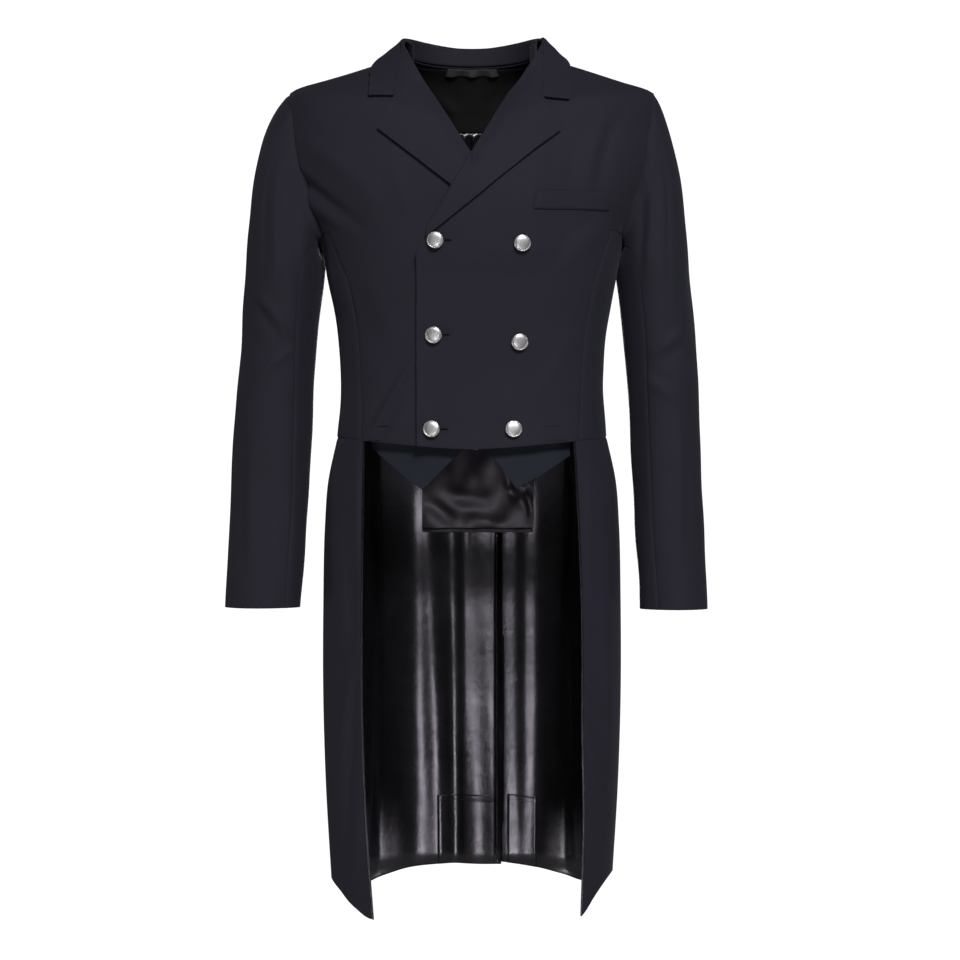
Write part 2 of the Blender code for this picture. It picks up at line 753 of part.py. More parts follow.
def make_buttons():
    for column, places in BUTTONS.items():
        for number, (x, z) in enumerate(places, start=1):
            make_button(f"{column}_{number}", x, z)


# ---------------------------------------------------------------- inside

LINING_RINGS = [LINING_SEAM, 1.9, 2.0, 2.2, 2.4, 2.6, 2.8, 2.94]
SATIN_RINGS = RINGS_TO_ARM + RINGS_ARMHOLE[1:6]
INSIDE_GAP = 0.0012


def lining_row(ring, first):
    """Places right across the back, under the columns of its two halves."""
    edge = back_edge(ring)
    half = [edge + (pi - edge) * step for step in BACK_STEPS[first:]]
    return [(angle, ring) for angle in half + [2 * pi - angle for angle in half[-2::-1]]]


def inside_sheet(name, form, rows, look, lift):
    """Satin on the inner side of a form: its rows of places, with its outer face at lift."""

    def points(height):
        return pulled_in([[form(*place) + outward(form, *place) * height for place in row] for row in rows])

    wall(name, points(lift - SATIN), points(lift), look)


def make_back_lining():
    rows = [lining_row(ring, first=1) for ring in LINING_RINGS]
    inside_sheet("back_lining", coat, rows, MATT_LINING, -INSIDE_GAP)
    rows = [lining_row(ring, first=2) for ring in SATIN_RINGS]
    inside_sheet("back_satin", coat, rows, BLACK_SATIN, -INSIDE_GAP)


LABEL_ANGLES, LABEL_RINGS = [154, 167, 180, 193, 206], [2.76, 2.94]


def make_neck_label():
    rows = [[(radians(angle), ring) for angle in LABEL_ANGLES] for ring in LABEL_RINGS]
    inside_sheet("neck_label", coat, rows, BLACK_SATIN, -INSIDE_GAP - SATIN - LAYER_GAP)


# The satin flap hangs straight down inside the waist seam at the centre back
FLAP_XS = [-0.0642, -0.0360, -0.0070, 0.0220, 0.0500, 0.0778]
FLAP_DROPS, BINDING_WIDTH = [0.0, 0.022, 0.050, 0.080, 0.118], 0.0058
FLAP_TOP_Z, FLAP_BEND = -0.4740, 0.004


def flap_form(x, drop):
    """The flap's form: close inside the tails' lining at the waist, then straight down."""
    waist = coat(solve(lambda angle: -coat(angle, 0).x + x, radians(110), radians(250)), 0)
    depth = waist.y - TUCK + LINING_LIFT
    return Vector((x, depth - FLAP_BEND * sin(pi * drop / FLAP_DROPS[-1]), FLAP_TOP_Z - drop))


def make_waist_flap():
    rows = [[(x, drop) for x in FLAP_XS] for drop in FLAP_DROPS]
    inside_sheet("waist_flap", flap_form, rows, BLACK_SATIN, 0.0)
    rows = [[(x, drop) for x in FLAP_XS] for drop in (FLAP_DROPS[-1] - BINDING_WIDTH, FLAP_DROPS[-1])]
    inside_sheet("waist_flap_binding", flap_form, rows, BLACK_SATIN, -SATIN - LAYER_GAP)


def build():
    make_fronts()
    make_breast_welt()
    for side in (LEFT, RIGHT):
        make_side(side)
        make_back(side)
        make_lapel(side)
        make_sleeve(side)
        make_tail(side)
        make_piping(side)
        make_point(side)
    make_collar_fall()
    make_collar_stand()
    make_vent_facing()
    make_waist_flap()
    make_back_lining()
    make_neck_label()
    make_buttons()


COLLECTION = start_coat()
build()
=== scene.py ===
"""The looks of a double-breasted riding tailcoat, filled out as if worn, with nobody in it.

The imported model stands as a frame, and a fine piece of cloth is laid over each of its plain ones. Angles run
round the body from the centre front (0) over the wearer's left side (90) to the centre back (180), and are
negative on the wearer's right. Rings are numbered from the tails' hem (-1) over the waist seam (0), the
underarm (1) and the shoulder points (2) to the neck seam (3). Metres, +Z up, the front towards -Y.
"""

from math import cos, hypot, pi, radians, sin

import bpy
import numpy as np
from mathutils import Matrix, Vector


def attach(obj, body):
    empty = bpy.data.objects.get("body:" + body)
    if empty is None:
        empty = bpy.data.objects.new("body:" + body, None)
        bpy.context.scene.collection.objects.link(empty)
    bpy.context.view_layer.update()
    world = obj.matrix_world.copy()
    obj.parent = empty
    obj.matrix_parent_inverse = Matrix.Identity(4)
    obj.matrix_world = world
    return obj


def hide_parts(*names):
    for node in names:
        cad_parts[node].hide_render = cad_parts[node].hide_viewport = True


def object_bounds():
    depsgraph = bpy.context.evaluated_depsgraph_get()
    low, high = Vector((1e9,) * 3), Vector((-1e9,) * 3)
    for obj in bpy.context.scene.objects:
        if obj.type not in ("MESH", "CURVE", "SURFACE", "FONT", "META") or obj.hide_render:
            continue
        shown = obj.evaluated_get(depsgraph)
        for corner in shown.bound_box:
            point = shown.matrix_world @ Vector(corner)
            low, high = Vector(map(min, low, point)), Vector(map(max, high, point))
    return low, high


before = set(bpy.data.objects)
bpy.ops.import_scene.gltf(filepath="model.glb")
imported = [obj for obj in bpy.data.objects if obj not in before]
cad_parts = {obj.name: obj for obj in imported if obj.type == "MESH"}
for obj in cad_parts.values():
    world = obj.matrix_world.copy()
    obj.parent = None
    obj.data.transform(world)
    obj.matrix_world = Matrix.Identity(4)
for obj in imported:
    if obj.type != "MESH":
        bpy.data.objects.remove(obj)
cad_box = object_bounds()
LEFT, RIGHT = 1, -1
SIDES = ((LEFT, "_left"), (RIGHT, "_right"))


# ================================================================ the studio
# A plain white floor that sweeps up into a backdrop, soft lights in front, above and at both sides, and a
# camera level with the tails, square to the coat's front.

EYE, LENS, SENSOR = (0.010, -3.5, -0.525), 105, 36
FLOOR_DROP, SWEEP_START, SWEEP_RADIUS, SWEEP_TOP = 1.20, 4.6, 1.2, 7.0
STUDIO_WIDTH, STUDIO_FRONT = 16.0, -6.0
PAPER_GREY, AIR_GREY = 0.30, 0.05
SHARP = radians(50)
# Name, place, where it looks, width and height, power
LAMPS = [
    ("key_light", (0.9, -4.3, 2.4), (0, 0, -0.8), (1.3, 1.0), 225),
    ("low_left", (-3.45, -1.2, -1.5), (0, 0, -0.9), (0.6, 1.0), 20),
    ("low_right", (3.45, -1.2, -1.5), (0, 0, -0.9), (0.6, 1.0), 14),
    ("low_middle", (-0.17, -3.8, -1.64), (0, 0.1, -1.1), (0.42, 0.60), 19),
    ("back_light", (0.0, 3.6, -0.3), (0, 0, -0.6), (0.9, 1.2), 105),
]


def fresh_material(name):
    """A new material and its Principled BSDF."""
    material = bpy.data.materials.new(name)
    material.use_nodes = True
    return material, material.node_tree.nodes["Principled BSDF"]


def grid_object(name, points):
    """A grid primitive laid on rows and columns of points."""
    rows, columns = points.shape[0] - 1, points.shape[1] - 1
    bpy.ops.object.select_all(action="DESELECT")
    bpy.ops.mesh.primitive_grid_add(x_subdivisions=columns, y_subdivisions=rows, size=1)
    piece = bpy.context.object
    piece.name = piece.data.name = name
    flat = np.empty(len(piece.data.vertices) * 3)
    piece.data.vertices.foreach_get("co", flat)
    flat = flat.reshape(-1, 3)
    row = np.rint((flat[:, 1] + 0.5) * rows).astype(int)
    column = np.rint((flat[:, 0] + 0.5) * columns).astype(int)
    piece.data.vertices.foreach_set("co", points[row, column].reshape(-1))
    piece.data.update()
    return piece, row, column


def welded(piece):
    """Merges the doubled points of a grid that is closed round, and turns its faces outward."""
    bpy.ops.object.mode_set(mode="EDIT")
    bpy.ops.mesh.select_all(action="SELECT")
    bpy.ops.mesh.remove_doubles(threshold=0.00001)
    bpy.ops.mesh.normals_make_consistent(inside=False)
    bpy.ops.object.mode_set(mode="OBJECT")
    bpy.ops.object.shade_smooth_by_angle(angle=SHARP)
    return piece


def make_backdrop():
    """Paper that only the camera sees as pure white, so that it throws little light back."""
    floor_z = cad_box[0][2] - FLOOR_DROP
    turn = np.linspace(0, pi / 2, 25)
    bend = [(SWEEP_START + SWEEP_RADIUS * sin(a), floor_z + SWEEP_RADIUS * (1 - cos(a))) for a in turn]
    profile = np.array([(STUDIO_FRONT, floor_z)] + bend + [(bend[-1][0], SWEEP_TOP)])
    points = np.zeros((len(profile), 2, 3))
    points[:, 0, 0], points[:, 1, 0] = STUDIO_WIDTH / 2, -STUDIO_WIDTH / 2
    points[:, :, 1:] = profile[:, None]
    backdrop, _, _ = grid_object("backdrop", points[:, ::-1])
    material, shader = fresh_material("white_paper")
    shader.inputs["Base Color"].default_value = (PAPER_GREY, PAPER_GREY, PAPER_GREY, 1)
    shader.inputs["Roughness"].default_value = 0.9
    shader.inputs["Specular IOR Level"].default_value = 0.0
    shader.inputs["Emission Strength"].default_value = 1.0
    seen = material.node_tree.nodes.new("ShaderNodeLightPath")
    material.node_tree.links.new(seen.outputs["Is Camera Ray"], shader.inputs["Emission Color"])
    backdrop.data.materials.append(material)
    bpy.ops.object.shade_smooth_by_angle(angle=radians(60))


def softbox(name, place, aim, size, power):
    """A rectangular lamp that looks at a point."""
    turn = (Vector(aim) - Vector(place)).to_track_quat("-Z", "Y").to_euler()
    bpy.ops.object.light_add(type="AREA", location=place, rotation=turn)
    lamp = bpy.context.object
    lamp.name, lamp.data.shape = name, "RECTANGLE"
    lamp.data.size, lamp.data.size_y, lamp.data.energy = *size, power


make_backdrop()
for lamp_row in LAMPS:
    softbox(*lamp_row)

bpy.ops.object.camera_add(location=EYE, rotation=(pi / 2, 0, 0))
camera = bpy.context.object
camera.data.lens, camera.data.sensor_width = LENS, SENSOR
bpy.context.scene.camera = camera
bpy.context.scene.view_settings.view_transform = "Standard"

world = bpy.data.worlds.new("studio_air")
world.use_nodes = True
air = world.node_tree
seen, tone = air.nodes.new("ShaderNodeLightPath"), air.nodes.new("ShaderNodeMapRange")
tone.inputs["To Min"].default_value = AIR_GREY
air.links.new(seen.outputs["Is Camera Ray"], tone.inputs["Value"])
air.links.new(tone.outputs["Result"], air.nodes["Background"].inputs["Color"])
bpy.context.scene.world = world


# ================================================================ fronts, side panels and backs
# The bodice: two fronts that lap over each other, a panel under each arm and two backs, all of a matt
# near-black navy wool twill, pressed, sewn together at plain pressed-open seams.

CLOTH, LAYER_GAP = 0.0016, 0.0005
# How squared the sections are, and how late a ring bends from its height at the side to that in the middle
SQUARE, DIP = 2.4, 1.6


def table(*rows):
    """Columns that follow their first one smoothly: a function from its value to the others."""
    keys, values = np.array([row[0] for row in rows], float), np.array([row[1:] for row in rows], float)
    slopes = np.gradient(values, keys, axis=0)

    def at(key):
        key = np.asarray(key, float)
        i = np.clip(np.searchsorted(keys, key, side="right") - 1, 0, len(keys) - 2)
        span = (keys[i + 1] - keys[i])[..., None]
        s = np.clip((key[..., None] - keys[i][..., None]) / span, 0, 1)
        place = (1 + 2 * s) * (1 - s) ** 2 * values[i] + s * s * (3 - 2 * s) * values[i + 1]
        slope = s * (1 - s) ** 2 * span * slopes[i] + s * s * (s - 1) * span * slopes[i + 1]
        return np.moveaxis(place + slope, -1, 0)

    return at


# Ring, half width, depth in front and behind, height at the sides, in front and behind
BODY = table(
    (0.00, 0.1665, 0.104, 0.098, -0.4725, -0.4875, -0.4800),
    (0.30, 0.1620, 0.102, 0.094, -0.3950, -0.3950, -0.3950),
    (0.50, 0.1655, 0.107, 0.098, -0.3450, -0.3350, -0.3350),
    (0.75, 0.1765, 0.116, 0.108, -0.2850, -0.2550, -0.2500),
    (1.00, 0.1890, 0.120, 0.114, -0.2250, -0.1850, -0.1750),
    (1.25, 0.2100, 0.118, 0.114, -0.1850, -0.1550, -0.1400),
    (1.50, 0.2280, 0.113, 0.110, -0.1400, -0.1300, -0.1080),
    (1.75, 0.2320, 0.106, 0.104, -0.0880, -0.1120, -0.0800),
    (1.90, 0.2305, 0.102, 0.100, -0.0600, -0.1030, -0.0640),
    (2.00, 0.2240, 0.099, 0.098, -0.0428, -0.0970, -0.0560),
    (2.04, 0.2180, 0.098, 0.097, -0.0400, -0.0950, -0.0530),
    (2.25, 0.1880, 0.092, 0.092, -0.0300, -0.0850, -0.0380),
    (2.50, 0.1530, 0.084, 0.084, -0.0190, -0.0720, -0.0220),
    (3.00, 0.0800, 0.068, 0.066, 0.0040, -0.0500, 0.0000),
)
# Ring, half width, depth in front and behind
TAILS = table(
    (-1.00, 0.1740, 0.110, 0.122),
    (-0.80, 0.1805, 0.110, 0.124),
    (-0.60, 0.1840, 0.108, 0.125),
    (-0.37, 0.1840, 0.106, 0.125),
    (-0.20, 0.1820, 0.105, 0.121),
    (-0.10, 0.1780, 0.104, 0.112),
    (0.00, 0.1665, 0.104, 0.098),
)
# Angle, height of the hem on the wearer's left and right
HEM = table(
    (50, -1.0640, -1.0620), (57, -1.0620, -1.0580), (61, -1.0520, -1.0510), (65, -1.0380, -1.0440),
    (72, -1.0210, -1.0300), (80, -1.0120, -1.0220), (90, -1.0130, -1.0200), (105, -1.0260, -1.0320),
    (117, -1.0360, -1.0420), (130, -1.0310, -1.0340), (145, -1.0245, -1.0255), (160, -1.0190, -1.0210),
    (190, -1.0180, -1.0210),
)
# Angle, width and height of the tails' largest folds
TAIL_FOLDS = [
    (-172, 9, 0.005), (-146, 10, 0.006), (-118, 9, -0.004),
    (118, 9, -0.004), (146, 10, 0.005), (166, 8, 0.004),
]


def section(angle, half_width, front, back):
    """The reach of a squared ellipse with its own depth front and back."""
    depth = np.where(np.cos(angle) > 0, front, back)
    side_part = np.abs(np.sin(angle) / half_width) ** SQUARE
    return (side_part + np.abs(np.cos(angle) / depth) ** SQUARE) ** (-1 / SQUARE)


def around(angle, reach, z):
    """Points round the body at a reach from its middle and a height."""
    return np.stack((reach * np.sin(angle), -reach * np.cos(angle), z), -1)


def coat(angle, ring):
    """Points of the body's form."""
    half_width, front, back, side_z, front_z, back_z = BODY(np.maximum(ring, 0))
    z = side_z + (np.where(np.cos(angle) > 0, front_z, back_z) - side_z) * np.abs(np.cos(angle)) ** DIP
    reach = section(angle, half_width, front, back)
    degrees, folds = np.degrees(angle), 0
    for centre, width, height in TAIL_FOLDS:
        folds = folds + height * np.exp(-((((degrees - centre + 180) % 360 - 180) / width) ** 2))
    left_z, right_z = HEM(np.abs(degrees))
    below = np.maximum(-ring, 0)
    reach = np.where(ring < 0, section(angle, *TAILS(np.minimum(ring, 0))) + below * folds, reach)
    return around(angle, reach, z + (np.where(angle > 0, left_z, right_z) - z) * below)


def outward(form, angle, ring, step=0.001):
    """Unit normals of a form."""
    round_it = form(angle + step, ring) - form(angle - step, ring)
    up_it = form(angle, ring + step) - form(angle, ring - step)
    normal = np.cross(round_it, up_it)
    return normal / np.linalg.norm(normal, axis=-1, keepdims=True)


HALVINGS, SAMPLES = 26, 400


def solve(function, low, high):
    """Where rising functions cross zero between two values."""
    for _ in range(HALVINGS):
        middle = (low + high) / 2
        below = function(middle) < 0
        low, high = np.where(below, middle, low), np.where(below, high, middle)
    return (low + high) / 2


def angle_across(form, ring, x):
    """The angles on the front of rings at distances across from the centre."""
    edge = np.full(np.shape(ring), radians(89))
    return solve(lambda angle: form(angle, ring)[..., 0] - x, -edge, edge)


def seen_at(form, x, z):
    """The places on the front of a form that are seen at x and z from straight in front."""
    x, z = np.asarray(x, float), np.asarray(z, float)
    hem, neck = np.full(x.shape, -1.0), np.full(x.shape, 3.0)
    ring = solve(lambda r: form(angle_across(form, r, x), r)[..., 2] - z, hem, neck)
    return angle_across(form, ring, x), ring


# Ring, distance across of the seam in front of the left and the right side panel
FRONT_SEAM = table(
    (0.00, 0.1305, 0.1345), (0.30, 0.1345, 0.1360), (0.50, 0.1395, 0.1400), (0.75, 0.1520, 0.1530),
    (0.87, 0.1620, 0.1645), (1.00, 0.1730, 0.1760),
)
# Ring, angle of the seam behind a side panel
BACK_SEAM = table((0.0, 128), (0.3, 131), (0.6, 128), (0.85, 119), (1.0, 112))
# Ring, angle of the armhole's front and back
ARMHOLE = table(
    (1.00, 78.5, 112), (1.08, 77.0, 109.5), (1.25, 76, 105.5), (1.50, 76.5, 102.5), (1.75, 78.5, 100),
    (1.90, 82, 97), (2.00, 90, 90),
)
FRONT_EDGE_X, BREAK_X, BREAK_Z, ROLL_TOP_X, ROLL_TOP_Z = -0.0655, -0.0540, -0.2200, 0.0846, 0.0180
ROLL_BOW, HIDDEN_BACK = 0.0050, 0.0035
BREAK_SHARPNESS, BOW_HIGH_UP, UNDERARM_STEP = 8, 2.5, 1.002
FREE_EDGE_LIFT, FREE_EDGE_WIDTH = 0.0045, 0.0180
LAP_ENDS_X, LAP_LIFT = (0.070, 0.115), 0.0023
OVER_LAPEL_Z, OVER_LAPEL_LIFT = (-0.28, -0.24), 0.0041


def eased(value, low, high):
    """From 0 at a low value to 1 at a high one, gently at both ends."""
    s = np.clip((value - low) / (high - low), 0.0, 1.0)
    return s * s * (3 - 2 * s)


def opening_x(z):
    """How far across the left front's edge lies: straight up to the break, then along the roll line."""
    climb = (z - BREAK_Z) / (ROLL_TOP_Z - BREAK_Z)
    straight = FRONT_EDGE_X + (BREAK_X - FRONT_EDGE_X) * np.maximum(1 + climb * BREAK_SHARPNESS, 0)
    bow = ROLL_BOW * np.sin(pi * np.clip(climb, 0, 1) ** BOW_HIGH_UP)
    return np.where(climb <= 0, straight, BREAK_X + (ROLL_TOP_X - BREAK_X) * climb + bow)


def opening_angle(ring):
    """The angle of a front's edge, which lies a little back inside the roll of its lapel."""

    def across(angle):
        point = coat(angle, ring)
        hidden = HIDDEN_BACK * eased(point[..., 2], BREAK_Z, BREAK_Z + 0.02)
        return point[..., 0] - opening_x(point[..., 2]) - hidden

    return solve(across, np.full(ring.shape, radians(-60)), np.full(ring.shape, radians(89)))


def outer_angle(ring, side):
    """The angle of a front's far edge: the seam in front of the side panel, and above it the armhole."""
    left_x, right_x = FRONT_SEAM(np.minimum(ring, 1))
    seam = angle_across(coat, np.minimum(ring, 1), left_x if side == LEFT else right_x)
    return np.where(ring < UNDERARM_STEP, seam, np.radians(ARMHOLE(np.maximum(ring, 1))[0]))


def back_edge(ring):
    """The angle of a back's outer edge: the seam behind the side panel, and above it the armhole."""
    seam = np.radians(BACK_SEAM(np.clip(ring, 0, 1))[0])
    return np.where(ring <= 1, seam, np.radians(ARMHOLE(np.maximum(ring, 1))[1]))


def left_lift(point):
    """How far the left front stands off: it laps over the right one and its lapel, and its edge is free."""
    fade = 1 - eased(point[..., 0], *LAP_ENDS_X)
    edge = FREE_EDGE_LIFT * (1 - eased(point[..., 0], FRONT_EDGE_X, FRONT_EDGE_X + FREE_EDGE_WIDTH))
    return fade * (LAP_LIFT + OVER_LAPEL_LIFT * eased(point[..., 2], *OVER_LAPEL_Z)) + edge


def along(points, axis):
    """How far each point of a grid lies from its first row (axis 0) or column (axis 1), along the cloth."""
    lengths = np.cumsum(np.linalg.norm(np.diff(points, axis=axis), axis=-1), axis=axis)
    start = np.zeros_like(np.take(lengths, [0], axis=axis))
    return np.concatenate((start, lengths), axis=axis)


def even(form_line, low, high, spacing):
    """Values from low to high that split the line they give into steps of about one spacing."""
    values = np.linspace(low, high, SAMPLES)
    lengths = along(form_line(values)[:, None], 0)[:, 0]
    return np.interp(np.linspace(0, lengths[-1], round(lengths[-1] / spacing) + 1), lengths, values)


def rings_along(angle, low, high, spacing):
    """Rings evenly apart on the body's form, along the line at an angle."""
    return even(lambda ring: coat(np.full_like(ring, angle), ring), low, high, spacing)


def between(near, far, rings, count, close=()):
    """Places between two edges, on each ring: evenly apart, with some closer to the first edge."""
    shares = np.sort(np.concatenate((close, np.linspace(0, 1, count + 1))))
    across = near[:, None] * (1 - shares) + far[:, None] * shares
    return across, np.repeat(rings[:, None], len(shares), axis=1)


TROUGH_DEPTH, TROUGH_ASIDE, CREASE_END = 0.6, 1.7, 1.2


def creases(across, up, rows):
    """Soft creases. Each row: where it starts and ends, its width, its height, and how far it bows aside.

    Beside the ridge of a positive height lies a shallower trough, on the right of the way it runs.
    """
    height = np.zeros_like(across)
    for x0, z0, x1, z1, width, rise, bow in rows:
        length = hypot(x1 - x0, z1 - z0)
        way = np.clip(((across - x0) * (x1 - x0) + (up - z0) * (z1 - z0)) / length**2, -0.5, 1.5)
        aside = ((across - x0) * (z1 - z0) - (up - z0) * (x1 - x0)) / length - 4 * bow * way * (1 - way)
        fade = np.sin(pi * np.clip(way, 0, 1)) ** CREASE_END
        trough = TROUGH_DEPTH * np.exp(-((aside / width - TROUGH_ASIDE) ** 2))
        height += rise * fade * (np.exp(-((aside / width) ** 2)) - trough)
    return height


WAVES, WAVES_TOGETHER = 6, 2.5


def uneven(points, size, wave, seed):
    """The slight unevenness of hanging cloth: a few long waves across each other."""
    numbers = np.random.default_rng(seed)
    total = np.zeros(points.shape[:-1])
    for _ in range(WAVES):
        way = numbers.normal(size=3)
        way *= 2 * pi / (np.linalg.norm(way) * wave * numbers.uniform(0.7, 1.6))
        total += np.sin(points @ way + numbers.uniform(0, 2 * pi))
    return total * size / WAVES_TOGETHER


SEAM_DROP, SEAM_WIDTH = 0.0010, 0.0028


def seam_dip(points, sewn):
    """How far cloth sinks towards its sewn edges: a, b are its first and last column, c, d its rows."""
    across, up = along(points, 1), along(points, 0)
    gaps = dict(a=across, b=across[:, -1:] - across, c=up, d=up[-1:] - up)
    dips = (SEAM_DROP * (1 - eased(gaps[edge], 0, SEAM_WIDTH)) ** 2 for edge in sewn)
    return sum(dips, np.zeros(across.shape))


RIM_SHARE, RIM_ANGLE = 0.3, radians(65)


def cloth_piece(name, points, normals, thickness):
    """A grid of cloth whose shown face lies on the points, faced along the normals and mapped in metres.

    It has its thickness behind the points and a rounded rim.
    """
    facing = np.cross(np.gradient(points, axis=1), np.gradient(points, axis=0))
    if (facing * normals).sum() < 0:
        points = points[:, ::-1]
    piece, row, column = grid_object(name, points)
    mesh = piece.data
    across, up = along(points, 1), along(points, 0)
    middle = points.shape[1] // 2
    weave = np.stack((across - across[:, middle : middle + 1], up), -1)[row, column]
    corner = np.empty(len(mesh.loops), int)
    mesh.loops.foreach_get("vertex_index", corner)
    mesh.uv_layers[0].data.foreach_set("uv", weave[corner].reshape(-1))
    wall = piece.modifiers.new("wall", "SOLIDIFY")
    wall.thickness, wall.offset, wall.use_even_offset = thickness, -1, False
    rim = piece.modifiers.new("rim", "BEVEL")
    rim.width, rim.segments, rim.limit_method, rim.angle_limit = thickness * RIM_SHARE, 2, "ANGLE", RIM_ANGLE
    for modifier in ("wall", "rim"):
        bpy.ops.object.modifier_apply(modifier=modifier)
    bpy.ops.object.shade_smooth_by_angle(angle=SHARP)
    squares = np.linalg.norm(np.cross(np.diff(points, axis=1)[:-1], np.diff(points, axis=0)[:, :-1]), axis=-1)
    return piece, (float(across[:, -1].max()), float(up[-1].max())), float(squares.sum())


def sew(
    node, form, places, face, stuff, inside=False, sewn="", folds=None, waves=(0.0005, 0.07),
):
    """The cloth that replaces a plain node: laid on a form at its places, with its shown face at a height.

    The stuff is a material, its slot, which is not used, and its thickness. Folds stand out from the shown
    face, waves are the size and length of its unevenness, and sewn names the edges that sink into seams.
    """
    base, normals = form(*places), outward(form, *places)
    shown = -normals if inside else normals
    seed = sum(ord(letter) for letter in node)
    relief = uneven(base, *waves, seed) - seam_dip(base, sewn)
    if folds is not None:
        relief = relief + folds(base)
    height = np.asarray(face(base) if callable(face) else face)
    points = base + normals * height[..., None] + shown * relief[..., None]
    piece, flat, area = cloth_piece(node + "_cloth", points, shown, stuff[2])
    dress(piece, node, stuff)
    return piece


def dress(piece, node, stuff):
    """Gives a piece its material and its place on the frame, in the stead of a plain node."""
    material, slot = stuff[:2]
    piece.data.materials.clear()
    piece.data.materials.append(material)
    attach(piece, "root")
    if node:
        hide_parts(node)


class Shade:
    """A socket of a material's nodes. Arithmetic on it adds Math nodes."""

    def __init__(self, tree, socket=None):
        self.tree, self.socket = tree, socket

    def add(self, kind, settings=None, output=0, **values):
        """Adds a node: first its settings, then its sockets' values or links, named by s and their number."""
        node = self.tree.nodes.new("ShaderNode" + kind)
        for name, setting in (settings or {}).items():
            setattr(node, name, setting)
        for name, value in values.items():
            socket = node.inputs[int(name[1:])]
            if isinstance(value, Shade):
                self.tree.links.new(value.socket, socket)
            else:
                socket.default_value = value
        return Shade(self.tree, node.outputs[output])

    def math(self, operation, *values):
        sockets = {f"s{number}": value for number, value in enumerate(values)}
        return self.add("Math", {"operation": operation}, **sockets)

    def __add__(self, other):
        return self.math("ADD", self, other)

    def __sub__(self, other):
        return self.math("SUBTRACT", self, other)

    def __mul__(self, other):
        return self.math("MULTIPLY", self, other)

    def noise(self, place, scale, detail):
        """Soft noise from 0 to 1 on a place."""
        return self.add("TexNoise", s0=place, s2=scale, s3=detail)

    def blend(self, share, low, high):
        """A colour between two."""
        return self.add("Mix", {"data_type": "RGBA"}, output=2, s0=share, s6=(*low, 1), s7=(*high, 1))

    def ribs(self, pitch):
        """Regular ribs from 0 to 1, by the distance across them."""
        return self.math("SINE", self * (2 * pi / pitch)) * 0.5 + 0.5

    def bump(self, height, distance, strength, under=None):
        """A normal from a pattern's height, on top of the one under it."""
        links = {} if under is None else {"s4": under}
        return self.add("Bump", s0=strength, s1=distance, s3=height, **links)


def start(name, **constants):
    """A new material: its Principled BSDF with constant sockets set, and a place to add nodes from."""
    material, shader = fresh_material(name)
    for socket, value in constants.items():
        shader.inputs[socket.replace("_", " ")].default_value = value
    return material, shader, Shade(material.node_tree)


def link(shader, **varying):
    """Links a shader's sockets to patterns."""
    for socket, shade in varying.items():
        shade.tree.links.new(shade.socket, shader.inputs[socket.replace("_", " ")])


# Shares in the colour, shares in the relief, and how the finer ribs lie across the others
RIB, CROSS_RIB, HAIRS, TONE, DARKER = 0.22, 0.10, 0.46, 0.42, 0.10
RIB_HEIGHT, CROSS_HEIGHT, HAIR_HEIGHT, CROSS_LEAN, CROSS_PITCH = 0.6, 0.3, 0.5, 0.35, 0.62
NAP = dict(Sheen_Roughness=0.45, Sheen_Tint=(0.55, 0.55, 0.72, 1))


def wool(name, dark, light, pitch, nap):
    """Matt wool twill: fine diagonal ribs, lighter hairs mixed in, and broad soft changes of tone."""
    material, shader, nodes = start(name, Roughness=0.8, Specular_IOR_Level=0.22, Sheen_Weight=nap, **NAP)
    uv = nodes.add("UVMap")
    place = nodes.add("TexCoord", output=3)
    thread = nodes.add("SeparateXYZ", s0=uv)
    u, v = thread, Shade(nodes.tree, thread.socket.node.outputs[1])
    rib, cross = (u + v).ribs(pitch), (u - v * CROSS_LEAN).ribs(pitch * CROSS_PITCH)
    hairs = nodes.noise(place, scale=1500.0, detail=1.0)
    tone = nodes.noise(place, scale=9.0, detail=2.0)
    shade = rib * RIB + cross * CROSS_RIB + hairs * HAIRS + tone * TONE - DARKER
    link(shader, Base_Color=nodes.blend(shade, dark, light))
    relief = rib * RIB_HEIGHT + cross * CROSS_HEIGHT + hairs * HAIR_HEIGHT
    fine = nodes.bump(relief, distance=0.00012, strength=0.55)
    rumple = nodes.noise(place, scale=60.0, detail=3.0)
    link(shader, Normal=nodes.bump(rumple, distance=0.0010, strength=0.10, under=fine))
    return material


NAVY_WOOL = wool("navy_wool", (0.0090, 0.0085, 0.0150), (0.0170, 0.0160, 0.0265), pitch=0.0011, nap=0.06)
WOOL = (NAVY_WOOL, "navy_wool", CLOTH)
FINE, COARSE = 0.0030, 0.0036

# Across and up, as seen from in front: where each crease starts and ends, its width, height and bow
FRONT_CREASES = {
    LEFT: [
        (0.1800, -0.0700, 0.1510, -0.1960, 0.0085, -0.0032, 0.005),
        (0.1300, -0.0950, 0.1190, -0.1960, 0.0085, -0.0014, 0.003),
        (0.0600, -0.4850, 0.0200, -0.3900, 0.0120, 0.0010, 0.004),
        (0.1280, -0.3400, 0.0700, -0.4300, 0.0110, 0.0012, -0.004),
        (0.1780, -0.1950, 0.1000, -0.2900, 0.0110, 0.0016, 0.006),
    ],
    RIGHT: [
        (-0.2660, -0.1045, -0.1200, -0.2260, 0.0070, -0.0060, 0.004),
        (-0.2400, -0.0850, -0.1100, -0.1850, 0.0110, 0.0020, -0.003),
        (-0.0600, -0.3650, -0.1260, -0.4750, 0.0050, 0.0034, 0.002),
        (-0.0700, -0.4050, -0.1060, -0.4850, 0.0070, 0.0014, -0.002),
        (-0.1300, -0.2700, -0.0850, -0.3600, 0.0120, 0.0012, 0.004),
        (-0.1000, -0.1300, -0.0650, -0.2150, 0.0120, 0.0012, 0.003),
    ],
}
